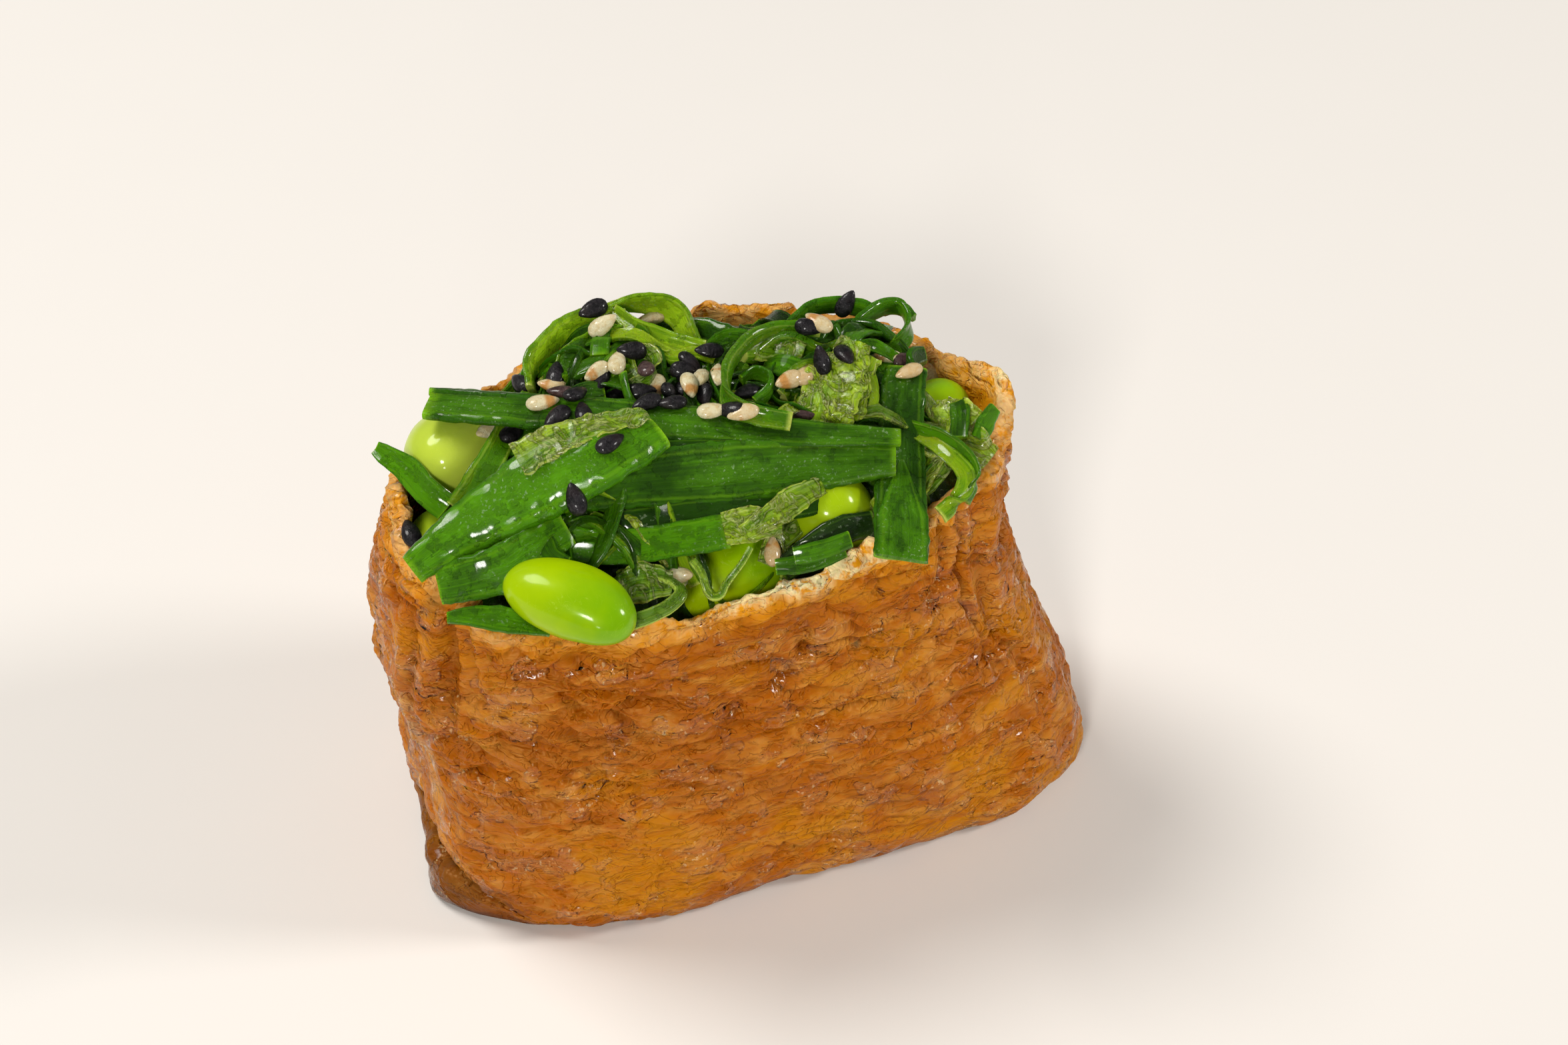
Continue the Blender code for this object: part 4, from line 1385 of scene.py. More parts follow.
BLADES: dict[str, tuple[Weed, tuple[Strip, ...]]] = {
    "blade_long": (Weed.GREEN, (
        Strip(((-25.6, 7.4, 46.6), (-18.4, 2.6, 47.4), (-10.5, -2.2, 47.8), (-3.3, -5.6, 47.4), (4.7, -8.8, 46.7),
            (12.6, -11.2, 45.9)), (4.2, 4.0, 1.6), ((0.3, 0.8, 0.0), (0.1, 0.7, 0.5)), tone=0.42, ruffle=0.2),
        Strip(((-25.0, 8.8, 46.8), (-18.0, 4.1, 47.6), (-10.0, -0.6, 48.0), (-3.0, -3.9, 47.7)), (1.2, 1.4, 0.6),
            ((0.2, 0.7, -0.6),), thick=0.8, tone=-0.15, ruffle=0.15),
    )),
    "blade_broad": (Weed.GREEN, (
        Strip(((-17.6, -6.0, 44.4), (-12.2, -7.2, 44.8), (-6.6, -8.4, 44.9), (2.0, -10.0, 44.6), (7.0, -10.9, 44.3),
            (11.9, -11.8, 44.0)), (4.0, 5.8, 3.0), ((0.2, 0.7, 0.7), (0.1, 0.4, 0.9)), tone=0.45, ruffle=0.3),
        Strip(((-12.0, -4.8, 46.8), (-6.0, -6.8, 46.8), (1.0, -8.9, 46.2), (6.0, -10.0, 45.8)), (0.8, 1.5, 0.5),
            ((0.2, 0.7, 0.7),), thick=0.6, tone=-0.3, ruffle=0.1, blunt=0.0),
    )),
    "blade_cross": (Weed.GREEN, (
        Strip(((-32.0, -7.6, 40.9), (-26.5, -6.9, 43.6), (-20.2, -7.3, 47.0), (-14.5, -8.1, 49.3), (-9.1, -6.2, 49.7)),
            (2.8, 6.8, 5.0), ((-0.4, 0.8, 0.5), (-0.3, 0.8, 0.2)), thick=1.1, cup=-0.2, tone=0.85, ruffle=0.6),
    )),
    "blade_right": (Weed.GREEN, (
        Strip(((17.2, -1.8, 45.8), (15.9, -4.2, 45.3), (14.4, -7.2, 44.0), (12.2, -12.6, 42.1), (9.9, -18.1, 41.0),
            (8.9, -20.6, 40.4)), (4.0, 4.6, 5.0), ((0.95, 0.0, 0.1), (0.95, 0.2, 0.0)), thick=0.9, tone=0.2),
        Strip(((13.0, -11.0, 43.0), (11.4, -14.8, 42.1), (9.9, -18.6, 41.3), (8.7, -21.1, 40.7)), (0.5, 4.7, 4.8),
            ((0.95, 0.1, 0.1), (0.95, 0.2, 0.0)), thick=0.5, blunt=0.0),
    )),
    "strip_turned": (Weed.GREEN, (
        Strip(((-16.6, -4.0, 41.6), (-18.8, -5.2, 41.2), (-19.2, -7.3, 40.9), (-17.0, -9.3, 40.6), (-13.6, -10.6, 40.4),
            (-9.2, -11.6, 40.6), (-4.4, -12.4, 40.8)), (3.0, 3.2, 3.2), ((0.7, 0.0, 0.7), (0.0, 0.8, 0.6)), thick=0.9,
            cup=0.25, tone=1.0, ruffle=0.5),
    )),
    "leaf_rim": (Weed.GREEN, (
        Strip(((-30.3, -12.3, 38.5), (-28.5, -12.9, 38.6), (-26.2, -13.7, 38.2), (-24.0, -14.6, 37.7),
            (-22.0, -15.4, 37.2)), (1.0, 2.5, 1.6), ((0.4, 0.7, 0.4), (0.4, 0.7, 0.3)), thick=0.8, cup=0.3, tone=0.8,
            blunt=0.4),
    )),
    "strip_dark": (Weed.DARK, (
        Strip(((-0.2, -15.0, 37.0), (2.4, -15.2, 38.9), (5.5, -15.2, 40.3), (8.6, -14.9, 39.9)), (2.4, 2.8, 2.4),
            ((-0.5, 0.6, 0.6), (-0.3, 0.6, 0.7)), thick=0.8, tone=0.1, ruffle=0.4),
    )),
    "curl_right": (Weed.BRIGHT, (
        Strip(((15.4, -8.2, 43.4), (16.2, -11.8, 44.2), (17.1, -14.3, 43.9), (17.3, -15.7, 43.1), (16.2, -16.9, 42.1),
            (14.2, -17.5, 41.2)), (1.2, 1.7, 1.9), ((0.9, 0.0, 0.4), (0.8, 0.3, 0.5)), thick=0.5, cup=0.5, tone=0.6,
            ruffle=0.5),
        # This darker copy, tone -0.5, lies over the curl's outer side as painted shade; the strip above, tone 0.6,
        # paints the lit inner face.
        Strip(((15.2, -7.4, 43.6), (16.8, -11.4, 44.7), (17.9, -14.2, 44.2), (18.0, -15.8, 43.1), (16.7, -17.2, 41.8)),
            (1.6, 1.9, 1.0), ((0.3, 0.3, 0.9), (0.3, 0.5, 0.8)), thick=0.4, tone=-0.5, ruffle=0.3, blunt=0.3),
    )),
    "curl_left": (Weed.GREEN, (
        Strip(((-30.7, 7.0, 43.1), (-30.0, 5.8, 42.9), (-28.5, 4.0, 42.0), (-27.4, 1.4, 41.0), (-26.4, 0.2, 40.2)),
            (1.3, 2.6, 2.6), ((0.5, 0.5, 0.7), (0.6, 0.3, 0.6)), thick=0.9, cup=0.5, tone=1.0, ruffle=0.3),
    )),
    "strip_light": (Weed.BRIGHT, (
        Strip(((-19.4, 3.8, 45.0), (-22.0, 0.6, 44.2), (-24.2, -1.0, 42.8), (-26.0, -1.8, 41.4)), (2.2, 2.8, 2.4),
            ((-0.6, 0.6, 0.5), (-0.5, 0.6, 0.6)), thick=0.8, cup=0.2, tone=0.3, ruffle=0.3),
    )),
    "loop_back_left": (Weed.BRIGHT, (
        Strip(((-15.8, 7.6, 45.0), (-15.0, 10.3, 45.6), (-12.9, 12.0, 46.4), (-10.0, 13.2, 47.1), (-7.4, 13.4, 47.4),
            (-5.1, 12.8, 47.2)), (2.6, 3.6, 2.4), ((-0.2, 0.1, 0.95), (0.1, -0.3, 0.9)), thick=0.7, cup=0.2, tone=0.85,
            ruffle=0.5),
        Strip(((-7.4, 14.0, 47.6), (-4.6, 13.9, 48.2), (-2.0, 13.0, 48.2), (-0.4, 11.2, 47.8), (0.1, 8.8, 46.6),
            (0.2, 6.4, 45.2)), (2.0, 2.8, 2.4), ((0.1, -0.4, 0.9), (0.5, 0.1, 0.8)), thick=0.7, cup=0.3, tone=1.05,
            ruffle=0.5),
        Strip(((-6.0, 13.0, 48.2), (-4.9, 9.9, 48.1), (-2.7, 7.7, 47.7), (0.3, 5.9, 47.1)), (1.2, 1.8, 1.6),
            ((0.7, 0.3, 0.5), (0.5, 0.5, 0.7)), thick=0.6, cup=0.4, tone=0.75, ruffle=0.3),
        Strip(((-5.5, 12.4, 48.1), (-6.1, 10.8, 47.2), (-7.4, 8.6, 46.3)), (0.7, 0.8, 0.7), thick=0.5, tone=0.9,
            ruffle=0.1),
        Strip(((-14.2, 8.2, 44.6), (-12.2, 10.2, 45.6), (-9.6, 11.3, 46.4), (-6.6, 11.2, 46.4), (-3.6, 9.6, 46.0)),
            (3.4, 4.4, 3.0), ((0.1, -0.5, 0.8),), thick=0.5, cup=0.2, tone=0.75, ruffle=0.8),
    )),
    "curl_middle": (Weed.BRIGHT, (
        Strip(((10.4, 2.6, 48.6), (7.4, 3.7, 49.0), (4.3, 3.1, 49.2), (1.4, 0.7, 49.3), (-0.3, -1.8, 49.1),
            (-1.0, -3.8, 48.8), (-0.5, -5.7, 48.6), (1.0, -7.1, 48.3), (3.2, -8.4, 48.1)), (1.5, 2.2, 1.8),
            ((0.1, -0.3, 0.9), (0.2, 0.8, 0.5)), thick=0.6, cup=0.5, tone=0.15, ruffle=0.4),
    )),
    "loop_back_right": (Weed.GREEN, (
        Strip(((12.4, 3.4, 45.8), (14.4, 4.6, 46.1), (17.0, 6.3, 46.3), (19.4, 7.2, 46.2), (20.4, 6.3, 46.0),
            (20.1, 4.5, 45.6), (18.8, 3.2, 45.2), (17.2, 2.6, 44.8)), (1.6, 2.1, 1.7), ((0.0, -0.4, 0.9),
            (-0.2, 0.5, 0.9)), thick=0.6, cup=0.3, tone=0.65, ruffle=0.5),
        Strip(((8.6, 7.4, 44.9), (9.8, 8.6, 45.4), (11.8, 9.5, 45.8), (14.2, 9.4, 45.9), (16.6, 8.3, 45.7),
            (17.8, 7.1, 45.1)), (1.6, 2.8, 2.4), ((0.0, -0.4, 0.9), (0.1, -0.4, 0.9)), thick=0.6, cup=0.3, tone=0.7,
            ruffle=0.4),
    )),
    "frill_standing": (Weed.CLEAR, (
        Strip(((7.6, -6.2, 45.4), (9.8, -3.6, 47.6), (12.6, -1.4, 49.8)), (5.0, 6.4, 2.4), ((0.8, -0.4, 0.2),
            (0.7, -0.6, 0.2)), thick=0.4, cup=0.3, tone=0.7, ruffle=2.6, blunt=0.0),
        Strip(((6.0, -6.6, 45.6), (7.6, -4.4, 47.2), (9.8, -2.2, 48.4)), (4.0, 4.6, 2.2), ((0.9, 0.2, 0.3),
            (0.8, 0.3, 0.3)), thick=0.3, cup=-0.3, ruffle=2.4, blunt=0.0),
        Strip(((9.6, -6.8, 45.4), (11.2, -4.6, 47.2), (13.6, -3.2, 48.8)), (2.6, 3.4, 1.6), ((0.9, -0.3, 0.3),
            (0.6, -0.6, 0.4)), thick=0.3, cup=0.4, tone=0.9, ruffle=2.2, blunt=0.0),
    )),
}

# Clear films, tendrils and small strips, which lie on and between the ones above
FILMS = (
    Strip(((-21.4, -5.6, 48.6), (-17.6, -5.6, 50.0), (-13.8, -5.8, 50.7), (-9.4, -6.0, 50.7)), (3.6, 3.0, 1.8),
        ((-0.3, 0.8, 0.2), (-0.2, 0.8, 0.1)), thick=0.2, ruffle=1.1, tone=0.35, blunt=0.0),
    Strip(((-3.4, -13.8, 41.4), (-0.4, -13.2, 42.2), (2.2, -12.4, 42.8), (5.0, -11.6, 43.0)), (1.6, 2.8, 1.8),
        ((0.1, 0.6, 0.7),), thick=0.3, ruffle=1.4, tone=0.6, blunt=0.0),
    Strip(((-4.8, -12.6, 41.4), (-2.2, -13.0, 41.6), (0.4, -13.4, 41.2)), (3.0, 3.4, 2.0), ((0.1, 0.7, 0.6),),
        thick=0.3, ruffle=0.8, tone=0.6, blunt=0.0),
    Strip(((18.0, -5.8, 42.8), (19.8, -8.0, 43.2), (21.8, -9.8, 42.6)), (3.6, 5.0, 3.0), ((0.6, 0.3, 0.7),), thick=0.3,
        ruffle=2.4, tone=0.8, blunt=0.0),
    Strip(((18.6, -8.6, 42.6), (20.2, -10.4, 42.4), (21.4, -12.0, 41.6)), (2.6, 3.8, 2.4), ((0.6, 0.4, 0.6),),
        thick=0.3, ruffle=2.2, tone=0.6, blunt=0.0),
    Strip(((-14.8, -13.2, 38.0), (-12.6, -13.8, 38.6), (-10.4, -14.6, 38.4)), (3.2, 3.8, 2.2), ((0.3, 0.7, 0.6),),
        thick=0.3, ruffle=1.4, tone=0.2, blunt=0.0),
    Strip(((-8.4, 5.4, 47.0), (-6.6, 6.1, 48.0), (-5.4, 5.2, 48.5), (-5.3, 3.8, 48.4), (-6.2, 2.6, 48.0),
        (-8.2, 2.6, 47.2)), (1.4, 2.0, 1.6), ((0.2, -0.4, 0.9), (0.2, 0.3, 0.9)), thick=0.3, cup=0.3, ruffle=0.6,
        tone=0.2, blunt=0.0),
    Strip(((-13.0, 6.0, 45.0), (-10.0, 7.4, 46.4), (-6.6, 7.2, 47.0), (-3.4, 5.6, 46.6)), (2.6, 3.4, 2.4),
        ((0.1, -0.5, 0.8), (0.2, -0.4, 0.8)), thick=0.3, ruffle=1.6, tone=0.3, blunt=0.0),
    Strip(((3.2, 5.4, 47.2), (5.8, 3.4, 47.9), (8.2, 1.2, 47.8)), (3.0, 3.6, 2.0), ((0.5, 0.6, 0.4),), thick=0.3,
        ruffle=1.4, tone=0.3, blunt=0.0),
)

TENDRILS = (
    Strip(((-8.7, -15.2, 41.0), (-8.3, -16.4, 40.4), (-8.2, -17.4, 39.4), (-7.8, -17.9, 38.7), (-7.0, -17.8, 38.7),
        (-6.3, -17.4, 39.5), (-4.6, -16.6, 40.6), (-3.4, -15.6, 41.2)), (0.7, 0.8, 0.5), thick=0.5, ruffle=0.1,
        tone=0.3, blunt=0.0),
    Strip(((-11.6, -13.4, 38.6), (-10.5, -15.0, 38.9), (-10.3, -16.6, 38.9), (-11.7, -17.6, 38.6), (-13.7, -17.9, 38.3),
        (-15.4, -17.8, 38.0)), (0.8, 1.3, 1.5), roll=(20.0, 35.0), thick=0.7, ruffle=0.2, tone=0.1, blunt=0.0),
)

SMALL_GREENS = (
    Strip(((-30.0, -9.0, 39.6), (-27.6, -10.2, 40.6), (-24.6, -10.8, 41.4), (-21.8, -10.2, 42.2), (-18.2, -8.8, 42.6)),
        (3.6, 4.4, 3.4), ((0.0, 0.6, 0.8),), thick=0.6, ruffle=1.0, tone=0.7),
    Strip(((-19.6, -7.0, 42.9), (-20.4, -9.0, 42.3), (-20.4, -10.8, 41.6), (-19.3, -12.0, 41.0)), (1.8, 2.2, 1.8),
        ((0.9, 0.0, 0.3), (0.9, 0.3, 0.3)), thick=0.7, ruffle=0.3),
    Strip(((0.2, -17.0, 40.3), (1.6, -17.4, 40.6), (3.4, -17.4, 40.7), (5.4, -17.2, 40.9)), (1.6, 1.8, 1.6),
        ((0.1, 0.5, 0.8),), thick=0.7, ruffle=0.3, tone=0.75),
    Strip(((-1.4, -16.6, 39.2), (0.4, -17.2, 39.4), (2.6, -17.2, 39.4), (5.0, -16.9, 39.6)), (1.5, 1.8, 1.6),
        ((0.1, 0.5, 0.8),), thick=0.7, ruffle=0.3),
    Strip(((13.6, 4.6, 45.8), (11.0, 6.0, 46.6), (8.2, 6.2, 46.8), (5.6, 5.2, 46.4)), (2.0, 2.4, 2.0),
        ((0.1, -0.6, 0.7),), thick=0.8, cup=0.4, ruffle=0.4, tone=0.3),
    Strip(((4.6, 1.6, 46.6), (5.6, 0.2, 47.6), (7.0, -1.2, 47.4), (8.0, -2.4, 46.4)), (2.0, 2.4, 2.0),
        ((0.7, 0.5, 0.3),), thick=0.8, cup=0.3, ruffle=0.4, tone=0.7),
    Strip(((20.0, 0.6, 45.0), (18.4, -0.6, 45.6), (17.0, -2.6, 45.0)), (1.8, 2.2, 2.0), ((0.5, 0.7, 0.3),), thick=0.8,
        ruffle=0.3, tone=0.1),
    Strip(((-13.6, -9.2, 42.0), (-7.4, -10.6, 42.2), (-1.4, -11.6, 41.9), (4.4, -12.2, 41.6)), (2.6, 3.2, 2.2),
        ((0.1, 0.6, 0.8),), thick=0.4, ruffle=0.8, tone=-0.1, blunt=0.0),
    Strip(((-2.6, 12.0, 45.2), (0.6, 9.8, 46.0), (2.4, 7.2, 46.4), (4.6, 5.4, 46.2), (7.0, 4.0, 46.0)), (2.8, 3.8, 3.0),
        ((0.4, 0.2, 0.8), (0.5, 0.6, 0.4)), thick=0.6, ruffle=0.6, tone=0.1),
    Strip(((1.6, 0.1, 47.4), (3.0, 0.3, 47.8), (4.1, -1.0, 47.7), (3.5, -2.6, 47.3), (1.9, -3.2, 46.8)),
        (1.4, 1.8, 1.4), ((0.1, -0.2, 0.9), (0.3, 0.2, 0.9)), thick=0.5, cup=0.4, ruffle=0.3, tone=0.7),
    Strip(((20.4, -6.6, 44.4), (20.0, -8.0, 44.5), (19.0, -10.2, 43.4)), (1.5, 1.9, 1.6), ((0.9, 0.1, 0.3),), thick=0.5,
        cup=0.2, ruffle=0.3, tone=0.4),
    Strip(((19.4, 8.4, 44.6), (20.8, 7.6, 45.4), (21.4, 6.0, 45.2)), (0.9, 1.3, 0.9), ((0.1, -0.4, 0.9),), thick=0.6,
        cup=0.3, ruffle=0.4, tone=0.6),
    Strip(((20.9, -10.2, 42.8), (22.0, -9.4, 43.8), (23.2, -8.5, 44.5)), (1.6, 2.0, 1.4), ((0.3, 0.5, 0.7),), thick=0.6,
        ruffle=0.3, tone=0.9, blunt=0.4),
)


@dataclass(frozen=True)
class Thicket:
    """A place where loose strips of one kind lie: how many, and how high over the heap's outside."""

    kind: Weed
    count: int
    low: float
    high: float
    x: float = -3.0
    y: float = 0.0
    radius: float = 60.0


THICKETS = (
    Thicket(Weed.DARK, 60, -1.9, 0.2),
    Thicket(Weed.GREEN, 66, -1.3, 0.9),
    Thicket(Weed.GREEN, 16, -0.4, 1.2, -8.0, 9.5, 6.0),
    Thicket(Weed.GREEN, 22, -1.2, 0.9, -6.0, 15.5, 9.0),
    Thicket(Weed.GREEN, 24, -1.6, 0.3, 11.0, 13.5, 9.0),
    Thicket(Weed.GREEN, 14, -1.2, 0.6, -21.0, 10.0, 7.0),
    Thicket(Weed.DARK, 10, -1.4, -0.2, 1.0, 15.0, 9.0),
    Thicket(Weed.BRIGHT, 7, -1.0, 0.2, 4.0, 14.5, 10.0),
    Thicket(Weed.GREEN, 16, 0.2, 2.4, 13.5, 3.5, 6.0),
    Thicket(Weed.DARK, 10, 0.2, 1.8, 4.0, 4.0, 7.0),
    Thicket(Weed.GREEN, 7, 0.0, 1.6, 21.0, -7.0, 3.5),
    Thicket(Weed.BRIGHT, 12, -0.9, 0.9),
    Thicket(Weed.BRIGHT, 7, -0.2, 1.5, -8.0, 9.5, 6.0),
    Thicket(Weed.BRIGHT, 6, 0.4, 2.4, 13.5, 3.5, 6.0),
    Thicket(Weed.CLEAR, 8, -0.9, 0.9),
    Thicket(Weed.CLEAR, 7, 0.6, 2.6, 21.0, -8.0, 3.2),
    Thicket(Weed.CLEAR, 5, -0.5, 0.9, -4.0, -13.0, 5.0),
)


@dataclass
class LooseStrips:
    """The named strips, the small ones between them, and the strips that lie about without order."""

    heap: Heap
    maker: StripMaker
    seed: int = 41
    share_of_mouth: float = 0.94

    def mouth_reach(self, turn: float) -> float:
        """Distance from the mouth's middle to its wall in a direction."""
        shape = self.heap.shape
        return float(shape.wall_reach(np.array(turn), MOUTH_LEVEL, shape.wall))

    def strewn(self, thicket: Thicket, draw: random.Random) -> list[Strip]:
        """Strips that wander over a part of the heap.

        Args:
            thicket: Where they lie, and how many.
            draw: Where the random numbers come from.

        Returns:
            The strips.
        """
        strips, middle = [], self.heap.shape.wall_middle(MOUTH_LEVEL)
        while len(strips) < thicket.count:
            turn, far = draw.uniform(0.0, 360.0), math.sqrt(draw.random()) * self.share_of_mouth
            reach = self.mouth_reach(turn)
            x = middle + far * reach * math.cos(math.radians(turn))
            y = far * reach * math.sin(math.radians(turn))
            if math.hypot(x - thicket.x, y - thicket.y) > thicket.radius:
                continue
            heading, bend = draw.uniform(0.0, 2 * math.pi), draw.gauss(0.0, 0.2)
            lift, arch = draw.uniform(thicket.low, thicket.high), draw.uniform(0.0, 0.9)
            wave = draw.uniform(0.2, 0.7)
            steps, route = draw.randint(4, 10), []
            for i in range(steps):
                if self.crowded(x, y):
                    break
                rise = lift + arch * math.sin(math.pi * i / (steps - 1)) + wave * math.sin(1.7 * i + turn)
                route.append((x, y, float(self.heap.top(x, y)) + rise))
                x, y = x + STRIDE * math.cos(heading), y + STRIDE * math.sin(heading)
                heading += bend + draw.gauss(0.0, 0.16)
            if len(route) < 4:
                continue
            width, tilt = draw.uniform(1.2, 2.6), draw.gauss(0.0, 38.0)
            strips.append(Strip(
                tuple(route), (width * 0.8, width, width * 0.7), roll=(tilt, tilt + draw.gauss(0.0, 35.0)),
                thick=draw.uniform(0.4, 0.75), cup=draw.uniform(-0.1, 0.6), tone=draw.uniform(0.05, 0.95),
                ruffle=draw.uniform(0.2, 0.8),
            ))
        return strips

    def crowded(self, x: float, y: float) -> bool:
        """Whether a place is too near the wall or inside a bean."""
        middle = self.heap.shape.wall_middle(MOUTH_LEVEL)
        turn = math.degrees(math.atan2(y, x - middle))
        if math.hypot(x - middle, y) > self.share_of_mouth * self.mouth_reach(turn):
            return True
        return any(math.hypot(x - bean.centre[0], y - bean.centre[1]) < BEAN_ROOM for bean in BEANS)

    def build(self) -> list[bpy.types.Object]:
        """Makes all strips."""
        draw = random.Random(self.seed)
        pieces = []
        for node, (kind, strips) in BLADES.items():
            scale = FILM_RUFFLES if kind is Weed.CLEAR else RUFFLES
            piece = self.maker.sweep("seaweed_" + node, strips, kind, section=20, step=0.35, scale=scale)
            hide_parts(node)
            pieces.append(piece)
        pieces.append(self.maker.sweep("films_clear", FILMS, Weed.CLEAR, 20, 0.3, FILM_RUFFLES))
        pieces.append(self.maker.sweep("tendrils_pale", TENDRILS, Weed.PALE, 10, 0.3))
        pieces.append(self.maker.sweep("small_greens", SMALL_GREENS, Weed.GREEN, 16, 0.35))
        for kind in (Weed.DARK, Weed.GREEN, Weed.BRIGHT, Weed.CLEAR):
            strips = [strip for thicket in THICKETS if thicket.kind is kind for strip in self.strewn(thicket, draw)]
            scale = LOOSE_FILM_RUFFLES if kind is Weed.CLEAR else RUFFLES
            pieces.append(self.maker.sweep("loose_" + kind.value, strips, kind, section=10, step=0.55, scale=scale))
        return pieces


# -------------------------------------------------------------------------------------------- soybeans


@dataclass(frozen=True)
class Bean:
    """A soybean by its centre, the direction of its long axis and its half sizes."""

    BLUNTNESS: ClassVar[float] = 0.94
    name: str
    centre: Triple
    axis: Triple
    half_length: float
    half_width: float
    half_thickness: float
    pale: float = 0.0
    scar: Triple | None = None

    def build(self, material: bpy.types.Material, around: int = 56, rings: int = 40) -> bpy.types.Object:
        """Makes the bean."""
        along = np.array(Vector(self.axis).normalized())
        across = unit(np.cross(along, (0.0, 0.0, 1.0)))
        up = np.cross(across, along)
        angle = np.pi * (np.arange(rings) + 0.5) / rings
        place, radius = -np.cos(angle)[:, None, None], np.sin(angle)[:, None, None] ** self.BLUNTNESS
        turn = 2.0 * np.pi * np.arange(around) / around
        centre = np.array(self.centre)
        bend = 0.07 * self.half_length * (place * place - 0.4)
        spine = centre + along * place * self.half_length + across * bend
        sideways = across * self.half_width * np.cos(turn)[None, :, None]
        upward = up * self.half_thickness * np.sin(turn)[None, :, None]
        points = spine + (sideways + upward) * radius
        outward = unit(points - centre)
        dents = 0.16 * noise_at(points, 0.2, sum(self.centre)) + 0.05 * noise_at(points, 0.6, 31.0)
        points = points + outward * dents[..., None]
        corners = with_ends(points)
        end = np.concatenate((np.broadcast_to(place[..., 0], points.shape[:2]).ravel(), (-1.0, 1.0)))
        pale = self.pale * (0.75 + 0.5 * noise_at(corners, 0.12, 32.0))
        scar = corners[:, 0] * 0.0
        if self.scar:
            away = corners - (centre + np.array(self.scar))
            long_way = away @ along
            scar = hump(long_way, 2.0) * hump(np.linalg.norm(away - long_way[:, None] * along, axis=1), 0.55)
        marks = {"end": end, "pale": np.clip(pale, 0.0, 1.0), "scar": scar * 0.8}
        piece = make_piece("soy" + self.name, corners, ring_faces(rings, around), marks, material)
        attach(piece, BODY)
        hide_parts(self.name)
        return piece


BEANS = (
    Bean("bean_front", (-20.0, -15.2, 39.7), (0.62, -0.62, -0.1), 6.2, 3.7, 3.1, 0.0, (-1.4, -2.0, -2.5)),
    Bean("bean_left", (-23.0, 7.0, 40.5), (0.7, 0.45, -0.35), 6.2, 4.6, 4.2, 0.65),
    Bean("bean_low_left", (-27.0, -0.4, 35.4), (0.3, 0.9, 0.1), 5.2, 3.8, 3.4, 0.2),
    Bean("bean_centre", (6.5, -10.2, 37.7), (0.3, 0.2, -0.9), 5.2, 4.4, 4.1, 0.05),
    Bean("bean_low_front", (-3.6, -11.2, 34.8), (0.9, 0.1, 0.25), 5.8, 4.2, 3.9),
    Bean("bean_right", (21.0, -1.0, 38.0), (0.5, 0.8, 0.2), 4.6, 3.5, 3.4),
)


# -------------------------------------------------------------------------------------------- sesame seeds


@dataclass(frozen=True)
class Sesame:
    """One kind of sesame seed, and where its seeds lie.

    Each place is x, y and which way the tip points, followed by about how high it is where that isn't the usual.
    """

    name: str
    finish: SeedFinish
    length: float
    width: float
    thickness: float
    spots: tuple[tuple[float, ...], ...]


